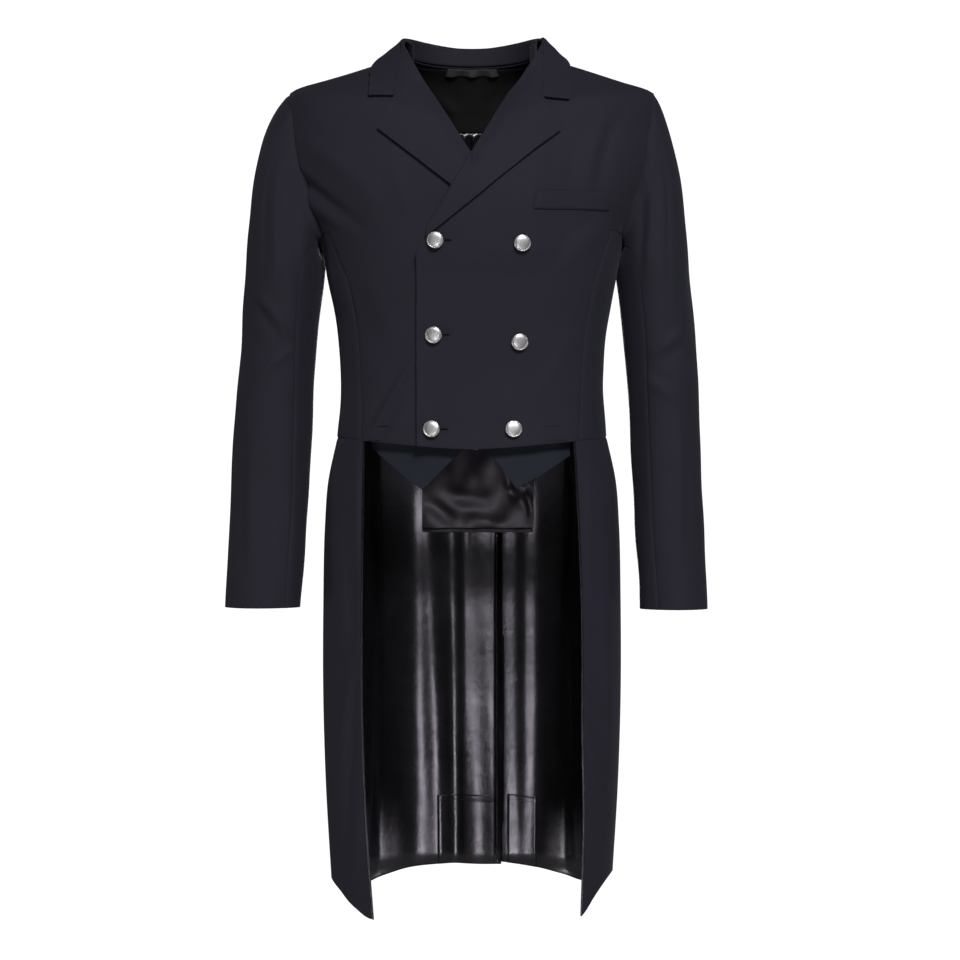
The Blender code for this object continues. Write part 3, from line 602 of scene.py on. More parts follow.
# The line pressed along the free edge, and the closer columns that show it
PRESSED_IN, PRESSED_WIDTH, PRESSED_DEPTH = 0.0030, 0.0009, 0.0005
EDGE_SHARES = (0.004, 0.008, 0.016, 0.020)
# Rows at the foot of the armhole, over how many rows its step is evened out further in, and from where
ARMHOLE_FOOT, CALM_ROWS, CALM_SHARE = (1.0, 1.004), 12, 0.8


def front_face(side):
    """How high the face of a front lies."""
    return lambda point: (left_lift(point) if side == LEFT else 0.0) + CLOTH


def make_front(side, end):
    rings = rings_along(radians(40), 0, 3, FINE)
    rings = np.sort(np.concatenate((rings, ARMHOLE_FOOT)))
    near, far = opening_angle(rings), outer_angle(rings, side)
    window = 2 * CALM_ROWS + 1
    calm = np.convolve(np.pad(far, CALM_ROWS, mode="edge"), np.ones(window) / window, "valid")
    angles, ring = between(near, calm, rings, count=84, close=EDGE_SHARES)
    share = (angles - near[:, None]) / (calm - near)[:, None]
    angles = angles + (far - calm)[:, None] * eased(share, CALM_SHARE, 1)

    def folds(point):
        pressed = np.exp(-(((along(point, 1) - PRESSED_IN) / PRESSED_WIDTH) ** 2))
        return creases(point[..., 0], point[..., 2], FRONT_CREASES[side]) - PRESSED_DEPTH * pressed

    places = (side * angles, ring)
    sew("front" + end, coat, places, front_face(side), WOOL, sewn="b", folds=folds)


def make_side(side, end):
    rings = rings_along(radians(90), 0, 1, FINE)
    angles, ring = between(outer_angle(rings, side), back_edge(rings), rings, count=40)
    sew("side" + end, coat, (side * angles, ring), CLOTH, WOOL, sewn="abc")


# Across and up, as seen from behind on the wearer's left: mirrored and shifted a little on the right
BACK_CREASES_SHIFT = 0.006
BACK_CREASES = [
    (0.1900, -0.0900, 0.1050, -0.1700, 0.0110, 0.0016, 0.004),
    (0.1700, -0.1700, 0.0800, -0.2100, 0.0100, 0.0012, -0.003),
    (0.1350, -0.4300, 0.0450, -0.4150, 0.0090, 0.0012, 0.003),
    (0.1300, -0.4000, 0.0600, -0.3700, 0.0080, 0.0009, -0.003),
    (0.0500, -0.0300, 0.0350, -0.1200, 0.0120, 0.0009, 0.002),
]


def make_back(side, end):
    rings = rings_along(radians(150), 0, 3, COARSE)
    angles, ring = between(back_edge(rings), np.full_like(rings, pi), rings, count=48)

    def folds(point):
        return creases(side * point[..., 0], point[..., 2] + BACK_CREASES_SHIFT * side, BACK_CREASES)

    sew("back" + end, coat, (side * angles, ring), CLOTH, WOOL, sewn="abcd", folds=folds)


for side, end in SIDES:
    make_back(side, end)
    make_side(side, end)
    make_front(side, end)


# ================================================================ sleeves
# Two-piece sleeves of the same wool: a topsleeve and an undersleeve joined by a forearm seam and a hindarm
# seam, eased into the armhole so that the head stands full over it. The cuffs are plain and open.

# Drop below the origin, how far out and back the middle runs, half width, half depth, forearm seam's turn
SLEEVE = {
    LEFT: [
        (0.265, 0.2248, 0.004, 0.0467, 0.064, 25),
        (0.310, 0.2296, 0.005, 0.0459, 0.061, 25),
        (0.350, 0.2340, 0.006, 0.0450, 0.058, 26),
        (0.420, 0.2385, 0.002, 0.0440, 0.054, 30),
        (0.500, 0.2420, -0.008, 0.0432, 0.051, 32),
        (0.580, 0.2450, -0.020, 0.0425, 0.048, 33),
        (0.684, 0.2500, -0.036, 0.0413, 0.046, 33),
    ],
    RIGHT: [
        (0.265, 0.2324, 0.004, 0.0502, 0.064, 24),
        (0.350, 0.2406, 0.006, 0.0469, 0.058, 30),
        (0.420, 0.2463, 0.002, 0.0475, 0.054, 36),
        (0.500, 0.2500, -0.008, 0.0487, 0.050, 38),
        (0.580, 0.2531, -0.020, 0.0481, 0.047, 40),
        (0.682, 0.2590, -0.036, 0.0466, 0.045, 41),
    ],
}
# Turn round the armhole from its front, ring that it lies on; its flat foot lies between two turns
ARMHOLE_ROUND = table((-90, 2.0), (-60, 1.91), (-30, 1.73), (0, 1.48), (25, 1.24), (50, 1.0))
FOOT_FROM, FOOT_TO = 50, 130
ARMHOLE_MIDDLE, ANGLE_LENGTH, RING_LENGTH = (90, 1.45), 0.19, 0.20
# The sleeve head: the seam allowance inside, how the cloth rises over the seam, and how it leaves and arrives
ALLOWANCE, SUNK_UNDER, OVER_SEAM = 0.25, 0.0006, (-0.003, 0.001)
PUFF, PUFF_AT = 0.0012, (0.002, 0.03)
LEAVE_DOWN, ARRIVE_OUT, ARRIVE_DOWN = (-0.045, -0.105), 0.020, -0.040
CAP_OUT, CAP_DOWN = {LEFT: 0.070, RIGHT: 0.125}, {LEFT: 0.340, RIGHT: 0.330}
# Where the cloth is softened near the underarm, and how far apart in turn and length its places are averaged
SOFT_UNDER, SOFT_IN, SOFT_OUT, SOFTENED = (-0.4, 0.4), (0.0, 0.3), (1.1, 1.6), (16, 0.12)
HINDARM_TURN, UNDERARM_TURN, UNDERARM_ENDS, GROOVE_STARTS = 185, 30, (0.2, 1.1), (0.95, 1.25)


def armhole_place(turn):
    """The places on the body's form where the sleeve is set in, by the turn round it from the front (0)."""
    turn = (turn + 90) % 360 - 90
    behind, below = turn > FOOT_TO, turn > FOOT_FROM
    ring = np.where(below & ~behind, 1.0, ARMHOLE_ROUND(np.where(behind, 180 - turn, turn))[0])
    front, back = ARMHOLE(ring)
    under = front + (back - front) * (turn - FOOT_FROM) / (FOOT_TO - FOOT_FROM)
    return np.radians(np.where(behind, back, np.where(below, under, front))), ring


def seam_allowance(angle, ring, width):
    """Places moved away from the armhole's middle: the sleeve's seam allowance under the body's cloth."""
    across = (angle - radians(ARMHOLE_MIDDLE[0])) * ANGLE_LENGTH
    up = (ring - ARMHOLE_MIDDLE[1]) * RING_LENGTH
    reach = np.hypot(across, up)
    return angle + across / reach * width / ANGLE_LENGTH, ring + up / reach * width / RING_LENGTH


def sleeve_form(side):
    """The sleeve's form by its turn in degrees and its length: 0 armhole, 1 upper arm, 2 cuff."""
    rows, sleeve = SLEEVE[side], table(*SLEEVE[side])
    top, bottom = rows[0][0], rows[-1][0]

    def arm(turn, drop):
        across, back, half_width, half_depth, _ = sleeve(drop)
        aside = across - half_width * np.sin(np.radians(turn))
        return np.stack((side * aside, back - half_depth * np.cos(np.radians(turn)), -drop), -1)

    def firm(turn, length):
        angle, ring = seam_allowance(*armhole_place(turn), np.maximum(-length, 0) * ALLOWANCE)
        raised = CLOTH * eased(length, *OVER_SEAM) + PUFF * eased(length, *PUFF_AT) - SUNK_UNDER
        begin = coat(side * angle, ring) + outward(coat, side * angle, ring) * raised[..., None]
        high = (1 - np.sin(np.radians(turn))) / 2
        leave = np.stack((side * CAP_OUT[side] * high, 0 * high, LEAVE_DOWN[0] + LEAVE_DOWN[1] * high), -1)
        arrive = np.stack((side * ARRIVE_OUT * high, 0 * high, ARRIVE_DOWN - CAP_DOWN[side] * high), -1)
        s = np.clip(length, 0, 1)[..., None]
        here = begin * ((1 + 2 * s) * (1 - s) ** 2) + arm(turn, top + 0 * length) * (s * s * (3 - 2 * s))
        here = here + leave * (s * (1 - s) ** 2) - arrive * (s * s * (1 - s))
        return np.where(length[..., None] >= 1, arm(turn, top + (bottom - top) * (length - 1)), here)

    def form(turn, length):
        turn, length = np.broadcast_arrays(np.asarray(turn, float), np.asarray(length, float))
        under = eased(np.sin(np.radians(turn)), *SOFT_UNDER)
        soft = under * eased(length, *SOFT_IN) * (1 - eased(length, *SOFT_OUT))
        steps = [(a * SOFTENED[0], b * SOFTENED[1]) for a in (-1, -0.5, 0, 0.5, 1) for b in (-1, 0, 1)]
        return sum(firm(turn + aside * soft, length + on * soft) for aside, on in steps) / len(steps)

    return form


def turned_out(form, side):
    """The form with its turn counted so that its normals point away from the arm on both sides."""
    return form if side == LEFT else lambda turn, length: form(-turn, length)


# Turn in radians from the front towards the body, and height: where each crease starts and ends. Then its
# width in radians, its height, and its bow
SLEEVE_CREASES = {
    LEFT: [
        (-0.6, -0.100, -0.2, -0.330, 0.10, -0.0016, 0.05),
        (0.2, -0.130, 0.5, -0.300, 0.12, -0.0020, 0.05),
        (-0.9, -0.330, 0.5, -0.375, 0.15, 0.0032, 0.05),
        (0.7, -0.395, -0.7, -0.430, 0.15, 0.0024, -0.05),
        (-0.4, -0.440, -0.1, -0.640, 0.16, 0.0018, 0.06),
        (2.6, -0.350, 4.2, -0.400, 0.20, 0.0018, 0.05),
        (2.4, -0.300, 3.9, -0.330, 0.18, 0.0012, -0.04),
        (-1.6, -0.200, -1.4, -0.420, 0.25, 0.0010, 0.05),
    ],
    RIGHT: [
        (-0.15, -0.110, 0.15, -0.330, 0.10, -0.0024, 0.04),
        (-0.6, -0.110, -0.45, -0.300, 0.10, -0.0016, 0.02),
        (0.3, -0.140, 0.6, -0.300, 0.15, 0.0014, -0.03),
        (-0.8, -0.290, 0.4, -0.355, 0.14, 0.0038, -0.08),
        (0.6, -0.360, -0.6, -0.405, 0.14, 0.0026, 0.06),
        (-0.5, -0.450, -0.3, -0.650, 0.15, 0.0026, 0.05),
        (2.5, -0.340, 4.1, -0.390, 0.20, 0.0018, -0.05),
        (2.7, -0.290, 4.0, -0.315, 0.17, 0.0012, 0.04),
        (-1.7, -0.180, -1.5, -0.440, 0.25, 0.0012, -0.05),
    ],
}
CREASE_UNIT, TURN_UNIT = 0.05, 57.3
HEAD_FULLNESS, FULL_AT, FULL_WIDTH = 0.0006, 0.10, 0.09
SET_IN_ROWS, FIRST_ROW = (-0.012, -0.004, 0.001, 0.006), 0.012


def scaled(rows):
    """Sleeve creases with their heights in steps of about the same length as their turns."""
    return [(x0, z0 / CREASE_UNIT, x1, z1 / CREASE_UNIT, *rest) for x0, z0, x1, z1, *rest in rows]


def make_sleeve(side, end):
    form = sleeve_form(side)
    seam_turn = table(*[(row[0], row[5]) for row in SLEEVE[side]])
    top, bottom = SLEEVE[side][0][0], SLEEVE[side][-1][0]
    lengths = even(lambda length: form(np.full_like(length, -90.0), length), FIRST_ROW, 2, COARSE)
    lengths = np.concatenate((SET_IN_ROWS, lengths))
    seam = seam_turn(top + (bottom - top) * np.maximum(lengths - 1, 0))[0]
    seam = seam + UNDERARM_TURN * (1 - eased(lengths, *UNDERARM_ENDS))
    hindarm = np.full_like(lengths, HINDARM_TURN)

    def sleeve_part(name, near, far, count, forearm_edge):
        turns, length = between(near, far, lengths, count)
        high = (1 - np.sin(np.radians(turns))) / 2
        full = HEAD_FULLNESS * high * np.exp(-(((length - FULL_AT) / FULL_WIDTH) ** 2))
        around_it, height = (turns + 90) % 360 - 90, form(turns, length)[..., 2]
        plain = 1 - eased(length, *GROOVE_STARTS)
        lie = creases(around_it / TURN_UNIT, height / CREASE_UNIT, scaled(SLEEVE_CREASES[side]))

        def folds(point):
            return lie + full + plain * seam_dip(point, forearm_edge)

        sew(name + end, turned_out(form, side), (side * turns, length), 0.0, WOOL, sewn="ab", folds=folds,
            waves=(0.0007, 0.06))

    sleeve_part("topsleeve", hindarm - 360, seam, count=70, forearm_edge="b")
    sleeve_part("undersleeve", seam, hindarm, count=40, forearm_edge="a")


for side, end in SIDES:
    make_sleeve(side, end)


# ================================================================ lapels and collar
# Notched lapels, the front's own cloth and facing folded back along a soft roll, and a collar with a stand
# and a fall, joined to the lapels at the gorge seam. The collar's ends and the lapels' edges lie free.

TURNED_LIFT, TURN_WIDTH = 0.0036, 0.022
COLLAR_RISE_FROM, COLLAR_RISE_POWER = 2.55, 2.6
# Angle, height of the crease that the collar is folded over; its half width and depth
CREASE_Z = table(
    (0, -0.0150), (30, -0.0064), (60, 0.0131), (75, 0.0220), (90, 0.0270), (104, 0.0305), (120, 0.0318),
    (133, 0.0304), (149, 0.0276), (164, 0.0254), (180, 0.0248),
)
CREASE_REACH = (0.0850, 0.072, 0.072)
# Across and up, as seen from in front
LAPEL = {
    LEFT: dict(notch=(0.0872, -0.0616), tip=(0.1085, -0.1001), foot=(-0.0545, -0.2310)),
    RIGHT: dict(notch=(0.0942, -0.0567), tip=(0.1150, -0.0977), foot=(-0.0545, -0.2310)),
}
ROLL_STEPS = [0.0, 0.12, 0.24, 0.31, 0.38, 0.46, 0.54, 0.63, 0.72, 0.81, 0.90, 0.985]
EDGE_STEPS = [0.1, 0.2, 0.35, 0.5, 0.67, 0.84, 1.0]
GORGE_TOP = (ROLL_TOP_X + 0.002, ROLL_TOP_Z - 0.004)
ROLL, TUCKED_IN, RAISED = 0.0026, 0.012, 0.0052
ROLL_MOST, TUCKED_MOST = 0.2, 0.6
LAPEL_SPACING = 0.0024


def crease_line(angle):
    degrees = np.abs((np.degrees(angle) + 180) % 360 - 180)
    return around(angle, section(angle, *CREASE_REACH), CREASE_Z(degrees)[0])


def collar_form(angle, ring):
    """The form that collar and lapels lie on: the body's, rising to the crease near the neck."""
    rise = np.maximum(ring - COLLAR_RISE_FROM, 0) / (3 - COLLAR_RISE_FROM)
    lean = crease_line(angle) - coat(angle, np.full_like(ring, 3.0))
    return coat(angle, ring) + lean * (rise**COLLAR_RISE_POWER)[..., None]


def seen_raised(x, z):
    """The places on the collar's form whose cloth, at its height above it, is seen at x and z."""
    shift = outward(collar_form, *seen_at(collar_form, x, z)) * RAISED
    return seen_at(collar_form, np.asarray(x) - shift[..., 0], np.asarray(z) - shift[..., 2])


def path(points, spacing):
    """Steps along a list of points, close enough for the cloth, as numbers counted from its first point."""
    points = np.array(points, float)
    steps = [np.array([0.0])]
    for k, length in enumerate(np.linalg.norm(np.diff(points, axis=0), axis=1)):
        steps.append(np.linspace(k, k + 1, max(round(length / spacing), 1) + 1)[1:])
    return np.concatenate(steps)


def on_path(points, steps):
    """The places that numbers counted along a list of points stand for, as columns."""
    points = np.array(points, float)
    return [np.interp(steps, np.arange(len(points)), column) for column in points.T]


def mixed(near, far, share):
    """Places between a near and a far edge, at shares of the way, on each row."""
    return [a[:, None] * (1 - share) + b[:, None] * share for a, b in zip(near, far)]


def rolled(form, near, far, count, roll, tucked):
    """Places and sunk heights of cloth that is folded back at its near edge: from its hidden edge, round the
    fold, to its far edge. The fold's radius and the hidden width may vary along it."""
    width = along(form(*mixed(near, far, np.linspace(0, 1, 30))), 1)[:, -1:]
    roll, tucked = np.minimum(roll, width * ROLL_MOST), np.minimum(tucked, width * TUCKED_MOST)
    turn = np.linspace(-pi / 2, pi / 2, 9)[None]
    hidden, shown = np.linspace(1, 0, 5)[None, :-1], np.linspace(0, 1, count + 1)[None, 1:]
    fold = (roll + (tucked - roll) * hidden, roll - roll * np.cos(turn), roll + (width - roll) * shown)
    sunk = (-2 * roll + 0 * hidden, -roll + roll * np.sin(turn), 0 * roll + 0 * shown)
    return mixed(near, far, np.concatenate(fold, 1) / width), np.concatenate(sunk, 1)


def turned_piece(node, form, places, height, stuff, sewn="", waves=(0.0004, 0.06)):
    """Cloth folded round an edge, from places on a form and heights above it that sink round the fold."""
    base, normals = form(*places), outward(form, *places)
    relief = uneven(base, *waves, sum(ord(letter) for letter in node))
    points = base + normals * (height + relief)[..., None]
    points = points - normals * seam_dip(points, sewn)[..., None]
    facing = np.cross(np.gradient(points, axis=1), np.gradient(points, axis=0))
    last = (facing[:, -3:] * normals[:, -3:]).sum()
    facing = facing * (1 if last > 0 else -1)
    piece, flat, area = cloth_piece(node + "_cloth", points, facing, stuff[2])
    dress(piece, node, stuff)


def lapel_lift(point, side):
    """How far the lapel's face stands off, more so away from its roll."""
    beyond = np.where(point[..., 0] * side > 0, np.abs(point[..., 0]) - opening_x(point[..., 2]), TURN_WIDTH)
    turned = LAYER_GAP + TURNED_LIFT * eased(beyond, 0, TURN_WIDTH) + 2 * CLOTH
    return (left_lift(point) if side == LEFT else 0.0) + turned


def part_way(start, stop, share):
    return tuple(p + (q - p) * share for p, q in zip(start, stop))


def make_lapel(side, end):
    notch, tip, foot = LAPEL[side]["notch"], LAPEL[side]["tip"], LAPEL[side]["foot"]
    outline = [GORGE_TOP, part_way(GORGE_TOP, notch, 0.5), notch, part_way(notch, tip, 0.5), tip]
    outline += [part_way(tip, foot, share) for share in EDGE_STEPS]
    heights = [ROLL_TOP_Z + (BREAK_Z - ROLL_TOP_Z) * share for share in ROLL_STEPS]
    steps = path([(0, z) for z in heights], LAPEL_SPACING)
    z = np.interp(steps, np.arange(len(heights)), heights)
    near, far = seen_at(collar_form, opening_x(z), z), seen_raised(*on_path(outline, steps))
    places, sunk = rolled(collar_form, near, far, count=44, roll=ROLL, tucked=TUCKED_IN)
    places = (side * places[0], places[1])
    height = lapel_lift(collar_form(*places), side) + sunk
    turned_piece("lapel" + end, collar_form, places, height, WOOL)


for side, end in SIDES:
    make_lapel(side, end)

# Angle, ring of the fall's outer edge behind; then its end on each side, across and up as seen from in front
COLLAR_FALL = table((80, 2.80), (90, 2.80), (120, 2.78), (150, 2.70), (180, 2.68))
COLLAR_END = {
    LEFT: [(0.1215, -0.0170), (0.1212, -0.0320), (0.1203, -0.0470), (0.1190, -0.0616)],
    RIGHT: [(0.1235, -0.0140), (0.1243, -0.0290), (0.1249, -0.0430), (0.1255, -0.0567)],
}
GORGE_STEPS, GORGE_LAP, GORGE_SUNK, CREASE_FOLD_Z = (0.15, 0.4, 0.7, 1.0), 0.0014, 0.0003, 0.026
CREASE_ROLL, CREASE_TUCK, LEAST_ROLL, LEAST_TUCK = 0.0034, 0.0080, 0.0001, 0.0002
BACK_TO_END, ROLL_ENDS, FRONT_FROM_Y = (180, 82), 1.2, 0.025
STAND_IN, STAND_ANGLES, STAND_TOP, STAND_GAP = 0.955, (64, 296), 0.90, 0.0004


def collar_half(side):
    """The fall's inner and outer edge from the centre back to one end, and how fully it rolls over."""
    angles = np.radians(np.linspace(*BACK_TO_END, 76))
    gorge = [part_way(GORGE_TOP, LAPEL[side]["notch"], share) for share in GORGE_STEPS]
    inner = seen_raised(*(np.array(gorge) - (GORGE_LAP, 0)).T)
    outer = seen_raised(*np.array(COLLAR_END[side]).T)
    steps, knots = np.linspace(0, 4, 44)[1:], np.arange(5)

    def carried_on(behind, front):
        return np.concatenate((behind, np.interp(steps, knots, np.concatenate(([behind[-1]], front)))))

    neck, fall = np.full_like(angles, 3.0), COLLAR_FALL(np.degrees(angles))[0]
    inner = [carried_on(behind, front) for behind, front in zip((angles, neck), inner)]
    outer = [carried_on(behind, front) for behind, front in zip((angles, fall), outer)]
    return inner, outer, np.concatenate((np.ones_like(angles), 1 - eased(steps, 0, ROLL_ENDS)))


def make_collar_fall():
    left, right = collar_half(LEFT), collar_half(RIGHT)

    def joined(one, other):
        return np.concatenate((one[::-1], other[1:]))

    def whole(one, other):
        return joined(one[0], 2 * pi - other[0]), joined(one[1], other[1])

    near, far = whole(left[0], right[0]), whole(left[1], right[1])
    full = joined(left[2], right[2])[:, None]
    roll, hidden = LEAST_ROLL + CREASE_ROLL * full, LEAST_TUCK + CREASE_TUCK * full
    places, sunk = rolled(collar_form, near, far, count=22, roll=roll, tucked=hidden)
    base = collar_form(*places)
    behind = LAYER_GAP + CLOTH + CLOTH * eased(CREASE_FOLD_Z - base[..., 2], 0, TURN_WIDTH)
    front = np.where(base[..., 0] > 0, lapel_lift(base, LEFT), lapel_lift(base, RIGHT)) - GORGE_SUNK
    share = eased(-base[..., 1], 0.0, FRONT_FROM_Y)
    height = behind + (front - behind) * share + sunk
    turned_piece("collar_fall", collar_form, places, height, WOOL)


def stand_form(angle, height):
    """The collar's stand: straight up from the neck seam to the inner side of the fall's roll."""
    top = np.full_like(angle, 3.0)
    foot = coat(angle, top) + outward(coat, angle, top) * (CLOTH + STAND_GAP)
    head = crease_line(angle) * (STAND_IN, STAND_IN, 1)
    return foot + (head - foot) * height[..., None]


make_collar_fall()
stand_angles, stand_heights = np.radians(np.linspace(*STAND_ANGLES, 150)), np.linspace(0, STAND_TOP, 14)
stand_places = np.meshgrid(stand_angles, stand_heights, indexing="ij")
sew("collar_stand", stand_form, stand_places, -CLOTH, WOOL, inside=True, sewn="ab")


# ================================================================ breast welt and waistcoat points
# A welt of the coat's wool over the breast pocket's mouth, and two points of a finer, bluer cloth sewn inside
# the fronts' hem, which show below it like the tips of a waistcoat.

# Across and up, as seen from in front
WELT_TOP = [(0.0768, -0.1760), (0.0990, -0.1753), (0.1225, -0.1745), (0.1465, -0.1740), (0.1695, -0.1738)]
WELT_BOTTOM = [(0.0730, -0.1975), (0.0960, -0.1972), (0.1210, -0.1966), (0.1450, -0.1960), (0.1662, -0.1955)]
WELT_SPACING, POINT_SPACING = 0.0018, 0.0020
POINT_TOP_Z, POINT_HANG, POINT_HANG_Z, LOOSE_GAP = -0.4550, 0.0110, 0.0320, 0.0013
POINTS = {
    LEFT: [(0.0150, -0.4830), (0.0370, -0.5110), (0.0562, -0.5359), (0.0817, -0.5226), (0.1270, -0.4940)],
    RIGHT: [(0.0100, -0.4870), (0.0370, -0.5130), (0.0617, -0.5372), (0.0836, -0.5226), (0.1295, -0.4850)],
}


def seen_sheet(form, low_line, high_line, spacing, count):
    """Places between two lines seen from in front, each a list of points across and up."""
    steps = path(low_line, spacing)
    low, high = seen_at(form, *on_path(low_line, steps)), seen_at(form, *on_path(high_line, steps))
    return mixed(low, high, np.linspace(0, 1, count + 1))


def welt_face(point):
    return left_lift(point) + 2 * CLOTH + 2 * LAYER_GAP


welt_places = seen_sheet(coat, WELT_BOTTOM, WELT_TOP, WELT_SPACING, count=12)
sew("breast_welt", coat, welt_places, welt_face, WOOL, sewn="cda", waves=(0.0002, 0.05))

POINT_NAVY = wool("point_navy", (0.0070, 0.0088, 0.0150), (0.0130, 0.0165, 0.0265), pitch=0.0008, nap=0.05)
POINT_CLOTH = (POINT_NAVY, "point_navy", CLOTH)


def make_point(side, end):
    top = [(x, POINT_TOP_Z) for x, _ in POINTS[side]]
    angles, rings = seen_sheet(coat, POINTS[side], top, POINT_SPACING, count=36)

    def face(point):
        return -LOOSE_GAP - POINT_HANG * eased(POINT_TOP_Z - point[..., 2], 0, POINT_HANG_Z)

    places = (side * angles, rings)
    sew("waistcoat_point" + end, coat, places, face, POINT_CLOTH, waves=(0.0006, 0.05))


for side, end in SIDES:
    make_point(side, end)


# ================================================================ tails, with their piping and lining
# Two long tails cut in one with their skirts, sewn to the bodice at the waist, the right one tucked inside
# the left one at the vent. Each is lined with glossy black grained leathercloth, piped at its front edge.

LEATHERCLOTH = 0.0012
# Ring, distance across of the left and the right tail's front edge
TAIL_FRONT_EDGE = table(
    (-1.00, 0.1345, 0.1215), (-0.80, 0.1375, 0.1300), (-0.60, 0.1360, 0.1345), (-0.40, 0.1360, 0.1355),
    (-0.20, 0.1325, 0.1345), (0.00, 0.1262, 0.1330),
)
TAIL_SPACING, TAIL_SIDE = 0.0038, radians(100)
VENT_OVERLAP_X, FACING_WIDTH = 0.0385, 0.0065
WAIST_ROWS, WAIST_SUNK, DEEPEST = (0.004, 0.010, 0.020), 0.0004, 0.0008
WAIST_SEAM = (-0.0015, 0.003)
# How far the right tail lies inside the left one, and the angles between which it dips under it
TUCK, TUCK_STARTS, TUCK_ENDS = CLOTH + LEATHERCLOTH + LAYER_GAP + LOOSE_GAP, radians(166), radians(177.5)
# Where the tails' folds change from those in front to those behind, and where both are flat at the vent
BEHIND_Y, FLAT_LEFT, FLAT_RIGHT, BACK_FOLDS_SHIFT = (-0.010, 0.040), (0.042, 0.060), (0.004, 0.030), 0.01
LINING_LIFT = -(LAYER_GAP + LEATHERCLOTH)
ON_LINING = LINING_LIFT - LAYER_GAP - LEATHERCLOTH

# Across and up, as seen from in front, on the skirt's front part
SKIRT_FOLDS = {
    LEFT: [
        (0.1450, -0.4800, 0.1480, -0.7200, 0.0050, 0.0016, 0.002),
        (0.1560, -0.5200, 0.1620, -0.9500, 0.0080, 0.0018, -0.003),
        (0.1370, -0.7600, 0.1640, -0.8150, 0.0060, 0.0034, 0.002),
        (0.1380, -0.8400, 0.1640, -0.9300, 0.0070, 0.0034, -0.003),
        (0.1700, -0.6000, 0.1690, -0.9800, 0.0060, 0.0014, 0.002),
    ],
    RIGHT: [
        (0.1400, -0.4750, 0.1400, -0.6400, 0.0040, 0.0018, 0.001),
        (0.1560, -0.6000, 0.1540, -0.7600, 0.0060, 0.0024, -0.002),
        (0.1450, -0.7300, 0.1590, -0.9900, 0.0060, 0.0040, -0.006),
        (0.1680, -0.5200, 0.1700, -0.8600, 0.0070, 0.0016, 0.002),
        (0.1350, -0.8800, 0.1500, -1.0300, 0.0070, 0.0030, 0.003),
    ],
}
# Across and up, as seen from behind
TAIL_BACK_FOLDS = [
    (0.0450, -0.5000, 0.0600, -0.9800, 0.0140, 0.0030, 0.006),
    (0.1050, -0.5100, 0.1150, -0.9900, 0.0150, 0.0032, -0.005),
    (0.1450, -0.5200, 0.1500, -0.8800, 0.0110, 0.0020, 0.004),
    (0.0200, -0.6000, 0.0280, -1.0100, 0.0090, 0.0016, 0.002),
]


def front_edge(side, rings):
    """The angle of a tail's front edge, counted as on the wearer's left."""
    left_x, right_x = TAIL_FRONT_EDGE(np.minimum(rings, 0))
    return angle_across(coat, rings, left_x if side == LEFT else right_x)


def tail_places(side, rings, count):
    """A tail's places, from its front edge to the vent. The right one runs on under the left one."""
    end = np.full_like(rings, pi)
    if side == RIGHT:
        end = end + np.arctan2(VENT_OVERLAP_X, coat(end, rings)[..., 1])
    return between(front_edge(side, rings), end, rings, count)


def tail_rings(side):
    return rings_along(side * TAIL_SIDE, -1, 0, TAIL_SPACING)


def tucked(side, angles):
    """How far the right tail has dipped inside the left one."""
    return TUCK * eased(angles, TUCK_STARTS, TUCK_ENDS) if side == RIGHT else 0.0


def tail_relief(side, point):
    """The tail's folds and slight unevenness, which its lining follows; near the vent both lie flat."""
    x, y, z = point[..., 0], point[..., 1], point[..., 2]
    behind = eased(y, *BEHIND_Y)
    free = np.where(x > 0, eased(x, *FLAT_LEFT), eased(-x, *FLAT_RIGHT))
    skirt = creases(x * side, z, SKIRT_FOLDS[side]) * (1 - behind)
    hang = creases(x * side, z + BACK_FOLDS_SHIFT * side, TAIL_BACK_FOLDS)
    hang = np.maximum(hang + uneven(point, size=0.0008, wave=0.09, seed=5 + side), -DEEPEST)
    return skirt + hang * behind * free


def make_tail(side, end):
    rings = np.concatenate((tail_rings(side), WAIST_ROWS))
    angles, ring = tail_places(side, rings, count=108)
    under = CLOTH - (CLOTH + WAIST_SUNK) * eased(ring, *WAIST_SEAM)
    sew("tail" + end, coat, (side * angles, ring), under - tucked(side, angles), WOOL,
        folds=lambda point: tail_relief(side, point), waves=(0.0, 0.09))


for side, end in SIDES:
    make_tail(side, end)

COOL_GLOSS = (0.93, 0.87, 1.0, 1)
PEBBLES, FLAT_TOPS, DULL_PATCHES, DULL_CRUMPLES, GLOSS = 620.0, 5.0, 0.12, 0.04, 0.15


def leathercloth(name):
    """Glossy coated cloth: a pebbled grain, soft crumples at a larger scale, and patches that are duller."""
    material, shader, nodes = start(name, Specular_IOR_Level=0.72, Specular_Tint=COOL_GLOSS)
    place = nodes.add("TexCoord", output=3)
    crumple = nodes.noise(place, scale=320.0, detail=3.0)
    patches = nodes.noise(place, scale=38.0, detail=3.0)
    grain = nodes.add("TexVoronoi", {"feature": "DISTANCE_TO_EDGE"}, s0=place, s2=PEBBLES)
    pebble = nodes.math("MINIMUM", grain * FLAT_TOPS, 1.0)
    link(shader, Base_Color=nodes.blend(patches, (0.0012, 0.0012, 0.0014), (0.0028, 0.0026, 0.0030)))
    link(shader, Roughness=patches * DULL_PATCHES + crumple * DULL_CRUMPLES + GLOSS)
    fine = nodes.bump(pebble, distance=0.00008, strength=0.22)
    crumpled = nodes.bump(crumple, distance=0.0005, strength=0.18, under=fine)
    rumple = nodes.noise(place, scale=90.0, detail=2.0)
    link(shader, Normal=nodes.bump(rumple, distance=0.0012, strength=0.14, under=crumpled))
    return material


LEATHER = (leathercloth("leathercloth"), "leathercloth", LEATHERCLOTH)

